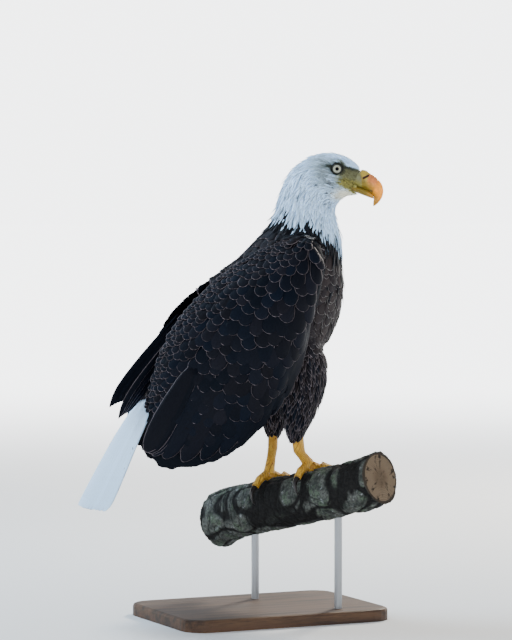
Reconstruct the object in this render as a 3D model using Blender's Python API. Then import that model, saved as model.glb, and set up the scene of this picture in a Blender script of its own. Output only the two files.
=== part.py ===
"""Bald eagle: a still, life-size model gripping a short perch on a plain display stand.

Metres, +Z up. The bird faces +X and its left side is +Y. The origin is on the floor, below the
middle of the whole model's box. The solids give the outline of the plumage, out to the feather tips.
"""
import math

import bmesh
import bpy
from mathutils import Matrix, Vector

# ---- driving dimensions -------------------------------------------------------------------
MM = 0.001
GAP = 0.4 * MM               # clearance between neighbouring solids

FOOT_X = 123 * MM            # where the bird stands, ahead of the middle of the model
FOOT_HEIGHT = 255 * MM       # the perch's top between the feet, above the floor

HEAD_TURN = math.radians(-25)    # the head looks to the bird's right
HEAD_PITCH = math.radians(22)    # and a little downwards
NECK_AXIS_X = 25 * MM            # the head turns about an upright line through the neck
EYE_REACH = 61 * MM              # from that line forwards to the eyes
EYE_HEIGHT = 551 * MM            # above the perch's top
EYE_RADIUS = 10.5 * MM
EYE_SPACING = 50 * MM            # between the centres of the two eyeballs
EYE_FORWARD = math.radians(14)   # an eye looks this much ahead of straight sideways
BROW_PLACE = (6, 26.5, 12.5)     # ahead of, beside and above the eyes' middle, in mm
BROW_RADII = (23 * MM, 6 * MM, 4.5 * MM)
BROW_TOE_IN = math.radians(12)   # the brow follows the head's narrowing
BROW_SLOPE = math.radians(9)     # and falls towards the bill
CHIN_PLACE = (43, 0, -30)        # from the eyes' middle, in mm
CHIN_RADII = (18 * MM, 9 * MM, 5 * MM)
CHIN_SLOPE = math.radians(-28)   # the chin rises towards the bill

BODY_SIDES = 24              # points round a section of the head, neck or trunk
BILL_SIDES = 14
CERE_STEPS, UPPER_BILL_STEPS, LOWER_BILL_STEPS = 3, 12, 6
LIMB_SIDES = 12
TOE_SIDES = 8
EYE_SEGMENTS, EYE_ROWS = 12, 9
BROW_SEGMENTS, BROW_ROWS = 10, 8

PERCH_RADIUS = 47 * MM
PERCH_AXIS = Vector((0.40, -0.88, 0.22)).normalized()   # up towards the bird's right and front
PERCH_LEFT = 200 * MM        # from between the feet to each cut end
PERCH_RIGHT = 195 * MM
PERCH_SIDES = 18
PERCH_STEPS = 12
PERCH_RISE = 0.35            # how strongly the limb bends up at its right end
PERCH_DROOP = -0.28          # and down at its left
PERCH_SWAY = 0.5             # and ahead at both
PERCH_THICKER_LEFT = 1.44    # how strongly it thickens towards each end
PERCH_THICKER_RIGHT = 0.27
BARK_UNEVEN = 0.04           # share of the radius that the limb is out of round
BARK_TWIST = 30              # radians that its uneven sides turn over a metre

BASE_X = 63 * MM             # the base lies under the weight, behind the feet
BASE_LENGTH = 400 * MM
BASE_WIDTH = 290 * MM
BASE_HEIGHT = 22 * MM
BASE_CORNER = 40 * MM
BASE_CORNER_STEPS = 5
BASE_EDGE = ((0, 0), (BASE_HEIGHT - 5 * MM, 0), (BASE_HEIGHT - 1.5 * MM, 1.5 * MM),
             (BASE_HEIGHT, 5 * MM))       # height and how far the edge is drawn in
ROD_RADIUS = 7 * MM
ROD_SIDES = 14
ROD_PLACES = (-95 * MM, 105 * MM)     # along the perch's axis

FOOT_SPREAD = 48 * MM        # from the middle of the stance to each foot, along the perch
TARSUS_RADIUS = 8.5 * MM
TARSUS_DEEP, TARSUS_BROAD = 1.1, 0.9     # it is deeper than broad
TARSUS = ((0.0, 1.25), (0.18, 1.05), (0.5, 0.92), (0.85, 1.0), (1.0, 1.0))    # share of the way up, girth
ANKLE_LIFT = 11.2 * MM       # its lower end stands this much above the bark
TOE_RADIUS = 8 * MM
TOE_STEPS = 6
TOE_TAPER = 0.22             # share of its girth that a toe loses towards its claw
TOE_PADS = 0.05              # share by which its pads swell
TOE_FLAT = 0.96              # a toe is this much lower than broad
CLAW_RADIUS = 5 * MM
CLAW_DEEP, CLAW_BROAD = 1.15, 0.85
CLAW_TAPER = 0.75            # under 1 keeps a claw stout until near its point

# Stations of the body from the face to the rump. Each is a section from the point on the back to
# the point on the front, as (reach, height) from the neck's upright line and the perch's top in
# millimetres, then the half width, how far the width sits towards the front (egg), and the turn
# as a share of the head's. The names say what the section passes through.
BODY = (
    # name          back           front          half  egg    turn
    ("face",        (106.5, 549),  (88.5, 511),   15.5,  0.05, 1.0),
    ("lores",       (96, 562),     (83, 505),     21.5,  0.05, 1.0),
    ("forehead",    (80, 573),     (76, 499.5),   27.5, -0.05, 1.0),
    ("brow",        (59, 580),     (71, 495),     32.5, -0.05, 1.0),
    ("crown",       (30, 580),     (66, 491),     36.5,  0.00, 0.95),
    ("ear",         (2, 568),      (62, 485),     40.5,  0.05, 0.85),
    ("nape",        (-24.5, 547.5), (60, 475),     45.0,  0.05, 0.65),
    ("throat",      (-40.5, 513.5), (62, 459),     49.5,  0.05, 0.40),
    ("collar",      (-49, 483),    (68, 441),     55.0,  0.05, 0.18),
    ("neck_base",   (-62, 454),    (73.5, 417),     64.0,  0.05, 0.0),
    ("shoulders",   (-83, 430),    (73, 378),     75.0,  0.05, 0.0),
    ("breast",      (-105, 410),   (73, 333),     83.0,  0.08, 0.0),
    ("keel",        (-129, 388),   (66, 285),     87.0,  0.08, 0.0),
    ("back",        (-157, 362),   (45, 240),     88.0,  0.08, 0.0),
    ("belly",       (-190, 330),   (8, 202),      84.0,  0.05, 0.0),
    ("loin",        (-222, 294),   (-44, 172),    74.0,  0.0,  0.0),
    ("vent",        (-250, 254),   (-102, 148),   59.0,  0.0,  0.0),
    ("rump",        (-272, 214),   (-162, 128),   43.0,  0.0,  0.0),
    ("tail_base",   (-291, 176),   (-218, 110),   30.0,  0.0,  0.0),
)
HEAD_ENDS = "nape"
NECK_ENDS = "neck_base"
RINGS_PER_STATION = 2

# The right wing, folded: its upper edge, its lower edge and how far it stands out, from the wrist
# to the tips, as (x, y, z) from the middle of the stance in millimetres.
WING = (
    # upper edge          lower edge            stands out
    ((15, -62, 427),      (27, -68, 404),       88),
    ((-5, -60, 434),      (21, -90, 366),       116),
    ((-38, -54, 425),     (7, -102, 318),       134),
    ((-87, -42, 406),     (-13, -109, 268),     145),
    ((-139, -32, 374),    (-35, -110, 216),     149),
    ((-189, -28, 332),    (-61, -108, 163),     145),
    ((-232, -25, 284),    (-94, -102, 112),     136),
    ((-264, -27, 229),    (-138, -95, 70),      122),
    ((-288, -38, 170),    (-188, -88, 42),      108),
    ((-305, -52, 112),    (-243, -81, 30),      93),
    ((-319, -62, 60),     (-290, -74, 30),      79),
)
LEFT_WING_TUCK = Vector((10, 0, -17))    # its upper edge lies this much further forward and lower
LEFT_TUCK_ENDS = 0.62        # share of the wing's length where the tuck has faded
LEFT_WING_LENGTH = 0.9       # it ends this much sooner
LEFT_WING_DRAWN = 10         # and its tips are drawn this much forwards
LOBE_SHARPNESS = 0.6         # under 1 makes the rounded tips broader than the notches between
WING_THICKNESS = 15 * MM
WING_EDGE = 2.4 * MM
WING_STEPS = 26
WING_ACROSS = 6
SECONDARY_TIPS = 7           # rounded tips along the lower edge
SECONDARY_TIP = 7 * MM       # how far they stand out of it
SECONDARY_FROM = 0.5         # share of the wing's length where they begin

# The long outer feathers beyond the folded wing, as a tapering blade: middle line, then half width.
PRIMARIES = (
    ((-221, -9, 252), 15),
    ((-257, -10, 214), 14),
    ((-293, -12, 175), 12.5),
    ((-320, -15, 142), 10.5),
    ((-337, -18, 114), 7.5),
)
PRIMARIES_ACROSS = Vector((0.72, 0.08, -0.69))     # from the upper edge to the lower
PRIMARIES_THICKNESS = 5 * MM
PRIMARIES_EDGE = 1.6 * MM
PRIMARIES_STEPS = 6
PRIMARY_TIPS = 4
PRIMARY_TIP = 5 * MM
PRIMARY_STAGGER = 22 * MM    # the lower ones end this much earlier
LEFT_PRIMARIES_LIFT = 17     # the left ones lie this much higher

# The tail: middle line of its upper side, then half width.
TAIL = (
    ((-240, 0, 204), 26),
    ((-277, 0, 160), 37),
    ((-317, 0, 104), 50),
    ((-353, 0, 40), 59),
    ((-384, 0, -18), 64),
    ((-398, 0, -44), 65),
)
TAIL_THICKNESS = 14 * MM
TAIL_END = 2.4 * MM
TAIL_ARCH = 9 * MM           # the middle stands above the sides
TAIL_ROUND = 22 * MM         # the outer feathers are this much shorter
TAIL_FEATHERS = 8            # tips that show at the end
TAIL_TIP = 5 * MM
TAIL_STEPS = 6
TAIL_ACROSS = 20

# The right leg's feathered part: centre, half depth and half width of its sections.
THIGH = (
    ((-14, -40, 272), 34, 30),
    ((-8, -46, 232), 50, 41),
    ((0, -50, 186), 51, 41),
    ((-2, -50, 142), 43, 34),
    ((-7, -48, 104), 32, 26),
    ((-11, -46, 74), 20, 18),
    ((-11, -45, 56), 12, 11),
)
THIGH_STEPS = 8

# Toes: bearing from straight ahead in degrees (outwards), root and tip from the foot's middle,
# claw length.
TOES = (
    (3, 8, 68, 30),
    (-26, 24, 54, 33),
    (34, 22, 58, 26),
    (176, 8, 40, 38),
)
CLAW_RISE = math.radians(22)     # a claw first rises from the toe
CLAW_BEND = math.radians(140)    # then hooks down by this much, or less if it meets the bark
CLAW_CLEAR = 1.2 * MM
CLAW_POINT = 0.35 * MM
CLAW_STEPS = 6
CLAW_SIDES = 6

COLOURS = {
    "white_feathers": (0.86, 0.88, 0.90, 0.75, 0.0),
    "dark_feathers": (0.045, 0.035, 0.032, 0.7, 0.0),
    "yellow_skin": (0.80, 0.45, 0.08, 0.5, 0.0),
    "cere_skin": (0.72, 0.55, 0.12, 0.5, 0.0),
    "bill_horn": (0.86, 0.45, 0.10, 0.35, 0.0),
    "claw_horn": (0.02, 0.02, 0.02, 0.25, 0.0),
    "eye_surface": (0.80, 0.78, 0.60, 0.08, 0.0),
    "bark": (0.24, 0.23, 0.18, 0.9, 0.0),
    "stand_wood": (0.10, 0.07, 0.05, 0.45, 0.0),
    "stand_steel": (0.6, 0.6, 0.6, 0.3, 1.0),
}

STANCE = Vector((FOOT_X, 0, FOOT_HEIGHT))


# ---- small tools --------------------------------------------------------------------------
def material(name):
    """The named material, made once."""
    made = bpy.data.materials.get(name)
    if made:
        return made
    red, green, blue, roughness, metallic = COLOURS[name]
    made = bpy.data.materials.new(name)
    made.use_nodes = True
    shader = made.node_tree.nodes["Principled BSDF"]
    shader.inputs["Base Color"].default_value = (red, green, blue, 1)
    shader.inputs["Roughness"].default_value = roughness
    shader.inputs["Metallic"].default_value = metallic
    return made


def add_object(name, points, faces, finish):
    """A closed mesh object with its faces turned outwards."""
    mesh = bpy.data.meshes.new(name)
    mesh.from_pydata([tuple(point) for point in points], [], faces)
    tidy = bmesh.new()
    tidy.from_mesh(mesh)
    bmesh.ops.recalc_face_normals(tidy, faces=tidy.faces)
    if tidy.calc_volume(signed=True) < 0:
        bmesh.ops.reverse_faces(tidy, faces=tidy.faces)
    tidy.to_mesh(mesh)
    tidy.free()
    mesh.materials.append(material(finish))
    mesh.shade_smooth()
    made = bpy.data.objects.new(name, mesh)
    bpy.context.collection.objects.link(made)
    return made


def place(point):
    """A point given in millimetres from the middle of the stance."""
    return STANCE + Vector(point) * MM


def mirrored(point):
    return Vector((point[0], -point[1], point[2]))


def blend(values, place_along):
    """A smooth curve through the values (numbers or vectors), read at a fractional index."""
    last = len(values) - 1
    index = min(int(place_along), last - 1)
    t = place_along - index
    before = values[index - 1] if index else values[0] * 2 - values[1]
    after = values[index + 2] if index + 2 <= last else values[last] * 2 - values[last - 1]
    start, end = values[index], values[index + 1]
    leave = (end - before) * 0.5
    arrive = (after - start) * 0.5
    return (start * (2 * t**3 - 3 * t**2 + 1) + leave * (t**3 - 2 * t**2 + t)
            + end * (3 * t**2 - 2 * t**3) + arrive * (t**3 - t**2))


def loft(name, rings, finish):
    """Join rings of equal count into a closed solid with flat ends."""
    count = len(rings[0])
    points = [point for ring in rings for point in ring]
    faces = []
    for row in range(len(rings) - 1):
        first = row * count
        for k in range(count):
            beside = (k + 1) % count
            faces.append((first + k, first + beside, first + count + beside, first + count + k))
    faces.append(tuple(range(count))[::-1])
    faces.append(tuple(range(len(points) - count, len(points))))
    return add_object(name, points, faces, finish)


def shell(name, outer, thickness, steps, across, finish, plain=None):
    """A curved plate: outer(u, v) is one of its faces and thickness(u, v) its depth.

    The depth's direction is square to plain(u, v), the same face without its feather tips.
    """
    face = plain or outer
    step = 1e-3
    rows = []
    for i in range(steps + 1):
        for j in range(across + 1):
            u, v = i / steps, j / across
            point = outer(u, v)
            along = face(min(u + step, 1), v) - face(max(u - step, 0), v)
            beside = face(u, min(v + step, 1)) - face(u, max(v - step, 0))
            rows.append((point, along.cross(beside).normalized() * thickness(u, v)))
    width = across + 1
    count = len(rows)
    points = [point for point, depth in rows] + [point + depth for point, depth in rows]
    faces = []
    for i in range(steps):
        for j in range(across):
            corner = i * width + j
            quad = (corner, corner + 1, corner + width + 1, corner + width)
            faces.append(quad)
            faces.append(tuple(count + k for k in reversed(quad)))
    rim = list(range(across + 1))
    rim += [i * width + across for i in range(1, steps + 1)]
    rim += [steps * width + j for j in range(across - 1, -1, -1)]
    rim += [i * width for i in range(steps - 1, 0, -1)]
    for k, corner in enumerate(rim):
        following = rim[(k + 1) % len(rim)]
        faces.append((corner, count + corner, count + following, following))
    return add_object(name, points, faces, finish)


def swollen(source, growth=GAP):
    """A copy of an object's own mesh, grown by the gap, to cut its neighbours with.

    It is in flat triangles, so that every face it leaves on a neighbour is flat too.
    """
    mesh = source.data.copy()
    body = bmesh.new()
    body.from_mesh(mesh)
    body.normal_update()
    places = [vertex.co + vertex.normal * growth for vertex in body.verts]
    for vertex, target in zip(body.verts, places):
        vertex.co = target
    bmesh.ops.triangulate(body, faces=body.faces)
    body.to_mesh(mesh)
    body.free()
    cutter = bpy.data.objects.new(source.name + "_cutter", mesh)
    bpy.context.collection.objects.link(cutter)
    cutter.hide_render = True
    cutter.display_type = "WIRE"
    return cutter


def combine(target, other, operation="DIFFERENCE"):
    change = target.modifiers.new(operation.lower(), "BOOLEAN")
    change.operation = operation
    change.object = other
    change.solver = "EXACT"


def tube_ring(centre, direction, up_hint, half_up, half_side, sides):
    """An elliptic ring round a centre, square to a direction."""
    forward = direction.normalized()
    side = forward.cross(up_hint).normalized()
    up = side.cross(forward)
    turns = [2 * math.pi * k / sides for k in range(sides)]
    return [centre + up * (half_up * math.cos(a)) + side * (half_side * math.sin(a)) for a in turns]


# ---- head, neck and trunk -----------------------------------------------------------------
def station_index(name):
    return [station[0] for station in BODY].index(name)


def body_ring(place_along):
    """The body's section at a fractional station."""
    back = blend([Vector(station[1]) for station in BODY], place_along) * MM
    front = blend([Vector(station[2]) for station in BODY], place_along) * MM
    half_width = blend([station[3] for station in BODY], place_along) * MM
    egg = blend([station[4] for station in BODY], place_along)
    turn = blend([station[5] for station in BODY], place_along) * HEAD_TURN
    middle = (back + front) / 2
    half_depth = (back - front) / 2
    side = Vector((-math.sin(turn), math.cos(turn), 0))
    ring = []
    for k in range(BODY_SIDES):
        angle = 2 * math.pi * k / BODY_SIDES
        flat = middle + half_depth * math.cos(angle)
        width = half_width * math.sin(angle) * (1 - egg * math.cos(angle))
        spot = Vector((NECK_AXIS_X + flat.x * math.cos(turn), flat.x * math.sin(turn), flat.y))
        ring.append(STANCE + spot + side * width)
    return ring


def body_stretch(name, start, end, finish, first_gap=True, last_gap=True):
    """One stretch of the body between two stations, held clear of its neighbours."""
    count = (end - start) * RINGS_PER_STATION
    rings = [body_ring(start + (end - start) * k / count) for k in range(count + 1)]
    for k, inward, wanted in ((0, 1, first_gap), (count, -1, last_gap)):
        if wanted:
            pairs = zip(rings[k], rings[k + inward])
            rings[k] = [near + (far - near).normalized() * GAP for near, far in pairs]
    return loft(name, rings, finish)


def head_frame():
    """From the head's own frame (x ahead, y left, z up, between the eyes) to the world."""
    turned = Matrix.Rotation(HEAD_TURN, 4, "Z") @ Matrix.Rotation(HEAD_PITCH, 4, "Y")
    middle = Vector((NECK_AXIS_X + EYE_REACH * math.cos(HEAD_TURN),
                     EYE_REACH * math.sin(HEAD_TURN), EYE_HEIGHT))
    return Matrix.Translation(STANCE + middle) @ turned


HEAD = head_frame()


def head_point(x, y, z):
    """A point of the head, in millimetres in its own frame."""
    return HEAD @ (Vector((x, y, z)) * MM)


def ball(name, centre, radii, turn, finish, segments, rows):
    """An ellipsoid with its poles on its own x axis."""
    rings = []
    for row in range(1, rows):
        angle = math.pi * row / rows
        ring = []
        for k in range(segments):
            around = 2 * math.pi * k / segments
            spot = Vector((radii[0] * math.cos(angle), radii[1] * math.sin(angle) * math.cos(around),
                           radii[2] * math.sin(angle) * math.sin(around)))
            ring.append(centre + turn @ spot)
        rings.append(ring)
    tips = [centre + turn @ Vector((side * radii[0], 0, 0)) for side in (1, -1)]
    points = [point for ring in rings for point in ring] + tips
    faces = []
    for row in range(len(rings) - 1):
        for k in range(segments):
            beside = (k + 1) % segments
            first = row * segments
            faces.append((first + k, first + beside, first + segments + beside, first + segments + k))
    last = (len(rings) - 1) * segments
    for k in range(segments):
        beside = (k + 1) % segments
        faces.append((k, beside, len(points) - 2))
        faces.append((last + beside, last + k, len(points) - 1))
    return add_object(name, points, faces, finish)


def eyeball_centre(side):
    return head_point(0, side * EYE_SPACING / 2 / MM, 0)


def eye_turn(side):
    """Turns the x axis to where the eye looks."""
    out = Matrix.Rotation(side * (math.pi / 2 - EYE_FORWARD), 3, "Z")
    return HEAD.to_3x3() @ out


def make_eye(name, side):
    return ball(name, eyeball_centre(side), (EYE_RADIUS,) * 3, eye_turn(side), "eye_surface",
                EYE_SEGMENTS, EYE_ROWS)


def brow(side):
    """The bony ridge that shades an eye, sloping down towards the bill."""
    slope = Matrix.Rotation(-side * BROW_TOE_IN, 3, "Z") @ Matrix.Rotation(BROW_SLOPE, 3, "Y")
    ahead, beside, above = BROW_PLACE
    ridge = ball("brow_cutter", head_point(ahead, side * beside, above), BROW_RADII,
                 HEAD.to_3x3() @ slope, "white_feathers", BROW_SEGMENTS, BROW_ROWS)
    ridge.hide_render = True
    ridge.display_type = "WIRE"
    return ridge


def chin():
    """The feathers that reach forwards under the lower bill."""
    slope = Matrix.Rotation(CHIN_SLOPE, 3, "Y")
    wedge = ball("chin_cutter", head_point(*CHIN_PLACE), CHIN_RADII, HEAD.to_3x3() @ slope,
                 "white_feathers", BROW_SEGMENTS, BROW_ROWS)
    wedge.hide_render = True
    wedge.display_type = "WIRE"
    return wedge


def make_head(eyes, lower_bill):
    head = body_stretch("head", 0, station_index(HEAD_ENDS), "white_feathers", first_gap=False)
    for side in (1, -1):
        combine(head, brow(side), "UNION")
    combine(head, chin(), "UNION")
    for neighbour in (*eyes, lower_bill):
        combine(head, swollen(neighbour))


# ---- bill ---------------------------------------------------------------------------------
def bill_part(name, stations, finish, steps):
    """A loft through sections of the bill: upper point, lower point, half width, egg."""
    tops = [Vector(station[0]) for station in stations]
    lows = [Vector(station[1]) for station in stations]
    widths = [station[2] for station in stations]
    eggs = [station[3] for station in stations]
    rings = []
    last = len(stations) - 1
    for k in range(steps + 1):
        spot = last * k / steps
        top, low = blend(tops, spot), blend(lows, spot)
        width, egg = blend(widths, spot), blend(eggs, spot)
        middle, half = (top + low) / 2, (top - low) / 2
        ring = []
        for j in range(BILL_SIDES):
            angle = 2 * math.pi * j / BILL_SIDES
            flat = middle + half * math.cos(angle)
            across = width * math.sin(angle) * (1 - egg * math.cos(angle))
            ring.append(head_point(flat.x, across, flat.y))
        rings.append(ring)
    return loft(name, rings, finish)


def make_bill():
    cere = (
        ((43.4, 15.2), (41.6, -16.6), 14.6, 0.15),
        ((51.6, 16.8), (48.6, -15.6), 14.0, 0.2),
        ((59.2, 15.2), (55.4, -15.0), 12.8, 0.25),
    )
    upper = (
        ((59.8, 14.9), (56.0, -15.0), 12.4, 0.25),
        ((70.0, 12.9), (64.0, -14.6), 11.0, 0.25),
        ((80.0, 8.8), (71.0, -15.6), 9.4, 0.22),
        ((88.0, 2.4), (77.0, -17.8), 7.8, 0.18),
        ((93.2, -6.0), (80.8, -20.6), 6.4, 0.12),
        ((95.0, -15.0), (83.2, -25.0), 5.0, 0.06),
        ((94.0, -23.5), (84.2, -29.6), 3.7, 0.0),
        ((91.4, -30.5), (85.6, -33.6), 2.3, 0.0),
        ((88.2, -36.0), (86.6, -36.8), 0.7, 0.0),
    )
    lower = (
        ((41.6, -17.3), (41.0, -27.0), 12.8, -0.1),
        ((48.6, -16.4), (48.6, -26.6), 11.8, -0.12),
        ((56.0, -15.7), (57.0, -26.4), 10.2, -0.12),
        ((64.0, -15.3), (66.0, -26.2), 8.4, -0.12),
        ((71.0, -16.4), (74.5, -26.0), 6.8, -0.1),
        ((77.4, -19.4), (82.0, -25.6), 4.6, 0.0),
    )
    bill_part("cere", cere, "cere_skin", CERE_STEPS)
    bill_part("bill_upper", upper, "bill_horn", UPPER_BILL_STEPS)
    return bill_part("bill_lower", lower, "bill_horn", LOWER_BILL_STEPS)


# ---- wings and tail -----------------------------------------------------------------------
def wing_face(side):
    """The inner face of a folded wing: u from the wrist to the tips, v from upper to lower edge."""
    uppers = [Vector(row[0]) for row in WING]
    lowers = [Vector(row[1]) for row in WING]
    spreads = [row[2] for row in WING]
    last = len(WING) - 1

    def outer(u, v):
        row = u * last * (LEFT_WING_LENGTH if side > 0 else 1)
        upper, lower = blend(uppers, row), blend(lowers, row)
        bend = (upper + lower) / 2
        bend.y = -blend(spreads, row)
        point = upper * (1 - v) ** 2 + bend * (2 * v * (1 - v)) + lower * v**2
        if side > 0:
            point += LEFT_WING_TUCK * (math.sin(math.pi * min(1.0, u / LEFT_TUCK_ENDS)) * (1 - v))
            point.x += LEFT_WING_DRAWN * u**2 * (1 - v)
        tipped = max(0.0, (u - SECONDARY_FROM) / (1 - SECONDARY_FROM))
        lobe = abs(math.sin(math.pi * SECONDARY_TIPS * tipped)) ** LOBE_SHARPNESS if tipped else 0.0
        point += (lower - upper).normalized() * (lobe * SECONDARY_TIP / MM * v**4)
        return place(point if side < 0 else mirrored(point))

    return outer


def make_wing(name, side):
    def thickness(u, v):
        middle = 1 - abs(2 * v - 1) ** 3
        ends = min(1, 6 * u + 0.15, 5 * (1 - u) + 0.15)
        depth = WING_EDGE + (WING_THICKNESS - WING_EDGE) * middle * ends
        return -depth if side > 0 else depth

    return shell(name, wing_face(side), thickness, WING_STEPS, WING_ACROSS, "dark_feathers")


def make_primaries(name, side):
    middles = [Vector(row[0]) for row in PRIMARIES]
    widths = [row[1] for row in PRIMARIES]
    last = len(PRIMARIES) - 1
    lift = LEFT_PRIMARIES_LIFT if side > 0 else 0.0

    def face_point(u, v, longer):
        reach = blend(widths, last * u) * (2 * v - 1)
        point = blend(middles, last * u) + PRIMARIES_ACROSS * reach
        point += (middles[-1] - middles[-2]).normalized() * (longer * u**3)
        point.z += lift
        return place(point if side < 0 else mirrored(point))

    def outer(u, v):
        lobe = abs(math.sin(math.pi * PRIMARY_TIPS * v)) ** LOBE_SHARPNESS
        return face_point(u, v, (PRIMARY_TIP * lobe - PRIMARY_STAGGER * v) / MM)

    def plain(u, v):
        return face_point(u, v, -PRIMARY_STAGGER * v / MM)

    def thickness(u, v):
        fullness = (1 - u) * (1 - abs(2 * v - 1))
        depth = PRIMARIES_EDGE + (PRIMARIES_THICKNESS - PRIMARIES_EDGE) * fullness
        return -depth if side > 0 else depth

    return shell(name, outer, thickness, PRIMARIES_STEPS, 2 * PRIMARY_TIPS, "dark_feathers",
                 plain)


def make_tail():
    middles = [Vector(row[0]) for row in TAIL]
    widths = [row[1] for row in TAIL]
    last = len(TAIL) - 1
    down_back = (middles[-1] - middles[0]).normalized()
    up_back = Vector((down_back.z, 0, -down_back.x))

    def outer(u, v):
        across = 2 * v - 1
        point = blend(middles, u * last) + Vector((0, across * blend(widths, u * last), 0))
        point -= up_back * (TAIL_ARCH / MM * across**2)
        lobe = abs(math.cos(math.pi * TAIL_FEATHERS / 2 * across)) ** LOBE_SHARPNESS
        shorten = TAIL_ROUND / MM * across**2 - TAIL_TIP / MM * lobe
        point -= down_back * (shorten * u**3)
        return place(point)

    def thickness(u, v):
        return TAIL_END + (TAIL_THICKNESS - TAIL_END) * (1 - u) * (1 - abs(2 * v - 1) ** 3)

    return shell("tail", outer, thickness, TAIL_STEPS, TAIL_ACROSS, "white_feathers")


# ---- perch, legs and feet -----------------------------------------------------------------
PERCH_AHEAD = Vector((-PERCH_AXIS.y, PERCH_AXIS.x, 0)).normalized()
PERCH_UP = PERCH_AHEAD.cross(-PERCH_AXIS).normalized()
PERCH_MIDDLE = STANCE - PERCH_UP * PERCH_RADIUS


def on_perch(along, arc, lift):
    """A point over the bark: along the perch, round it by an arc length, and above it."""
    angle = arc / PERCH_RADIUS
    away = PERCH_UP * math.cos(angle) + PERCH_AHEAD * math.sin(angle)
    return PERCH_MIDDLE + PERCH_AXIS * along + away * (PERCH_RADIUS + lift)


def make_perch():
    """A cut length of limb, a little crooked and uneven."""
    rings = []
    length = PERCH_LEFT + PERCH_RIGHT
    for k in range(PERCH_STEPS + 1):
        along = -PERCH_LEFT + length * k / PERCH_STEPS
        beyond = max(0.0, abs(along) - 2 * FOOT_SPREAD)
        bend = beyond**2 / length
        sway = PERCH_UP * (bend * (PERCH_RISE if along > 0 else PERCH_DROOP))
        sway += PERCH_AHEAD * (bend * PERCH_SWAY)
        thicker = PERCH_THICKER_RIGHT if along > 0 else PERCH_THICKER_LEFT
        radius = PERCH_RADIUS * (1 + thicker * (beyond / length) ** 2)
        rough = BARK_UNEVEN * min(1, beyond / FOOT_SPREAD)
        ring = []
        for j in range(PERCH_SIDES):
            angle = 2 * math.pi * j / PERCH_SIDES
            reach = radius * (1 + rough * math.sin(3 * angle + along * BARK_TWIST))
            away = PERCH_UP * math.cos(angle) + PERCH_AHEAD * math.sin(angle)
            ring.append(PERCH_MIDDLE + PERCH_AXIS * along + sway + away * reach)
        rings.append(ring)
    return loft("perch", rings, "bark")


def make_foot(side_name, side):
    """A bare lower leg, four toes and their claws. side is +1 for the left foot."""
    along = -side * FOOT_SPREAD
    ankle = on_perch(along, 0, ANKLE_LIFT)
    end = THIGH[-1][0]
    heel = place(end if side < 0 else mirrored(end))
    shaft = heel - ankle
    rings = []
    for share, girth in TARSUS:
        radius = TARSUS_RADIUS * girth
        rings.append(tube_ring(ankle + shaft * share, shaft, PERCH_AHEAD, radius * TARSUS_DEEP,
                               radius * TARSUS_BROAD, LIMB_SIDES))
    leg = loft(f"tarsus_{side_name}", rings, "yellow_skin")
    cutters = [swollen(leg)]
    for number, (bearing, root, tip, claw_length) in enumerate(TOES, start=1):
        toe = make_toe(f"{side_name}_{number}", along, side * math.radians(bearing),
                       root * MM, tip * MM, claw_length * MM)
        for cutter in cutters:
            combine(toe, cutter)
        cutters.append(swollen(toe))
    return leg


def make_toe(label, along, bearing, root, tip, claw_length):
    """A toe that lies round the perch, and its claw that hooks on down into the air."""
    rings = []
    for k in range(TOE_STEPS + 1):
        share = k / TOE_STEPS
        reach = root + (tip - root) * share
        radius = TOE_RADIUS * (1 - TOE_TAPER * share) * (1 + TOE_PADS * math.cos(4 * math.pi * share))
        lift = radius + GAP
        beyond = reach + MM
        centre = on_perch(along - math.sin(bearing) * reach, math.cos(bearing) * reach, lift)
        ahead = on_perch(along - math.sin(bearing) * beyond, math.cos(bearing) * beyond, lift)
        outward = centre - PERCH_MIDDLE
        outward -= PERCH_AXIS * outward.dot(PERCH_AXIS)
        rings.append(tube_ring(centre, ahead - centre, outward, radius * TOE_FLAT, radius, TOE_SIDES))
    toe = loft(f"toe_{label}", rings, "yellow_skin")
    direction = (ahead - centre).normalized()
    outward = (outward - direction * outward.dot(direction)).normalized()
    make_claw(f"claw_{label}", centre + direction * (1.5 * GAP), direction, outward, claw_length)
    return toe


def claw_line(start, direction, outward, length, bend):
    """Centres along a claw that rises from the toe and hooks down, with each one's way and back."""
    axis = direction.cross(outward)
    centres, ways, backs = [start], [], []
    for k in range(CLAW_STEPS + 1):
        turn = Matrix.Rotation(CLAW_RISE - bend * k / CLAW_STEPS, 3, axis)
        ways.append(turn @ direction)
        backs.append(turn @ outward)
        centres.append(centres[-1] + ways[-1] * (length / CLAW_STEPS))
    return centres[:-1], ways, backs


def make_claw(name, start, direction, outward, length):
    """A claw whose bend brings its tip down to the bark."""
    bend = CLAW_BEND
    centres, ways, backs = claw_line(start, direction, outward, length, bend)
    while bark_height(centres[-1]) < CLAW_CLEAR or bark_height(centres[-2]) < CLAW_CLEAR:
        bend -= math.radians(2)
        centres, ways, backs = claw_line(start, direction, outward, length, bend)
    ways[0] = direction          # flat against the toe's end
    rings = []
    for k, (centre, way, back) in enumerate(zip(centres, ways, backs)):
        radius = CLAW_RADIUS * (1 - k / CLAW_STEPS) ** CLAW_TAPER + CLAW_POINT
        rings.append(tube_ring(centre, way, back, radius * CLAW_DEEP, radius * CLAW_BROAD, CLAW_SIDES))
    return loft(name, rings, "claw_horn")


def bark_height(point):
    """How far a point lies above the perch's surface."""
    away = point - PERCH_MIDDLE
    away -= PERCH_AXIS * away.dot(PERCH_AXIS)
    return away.length - PERCH_RADIUS


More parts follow.
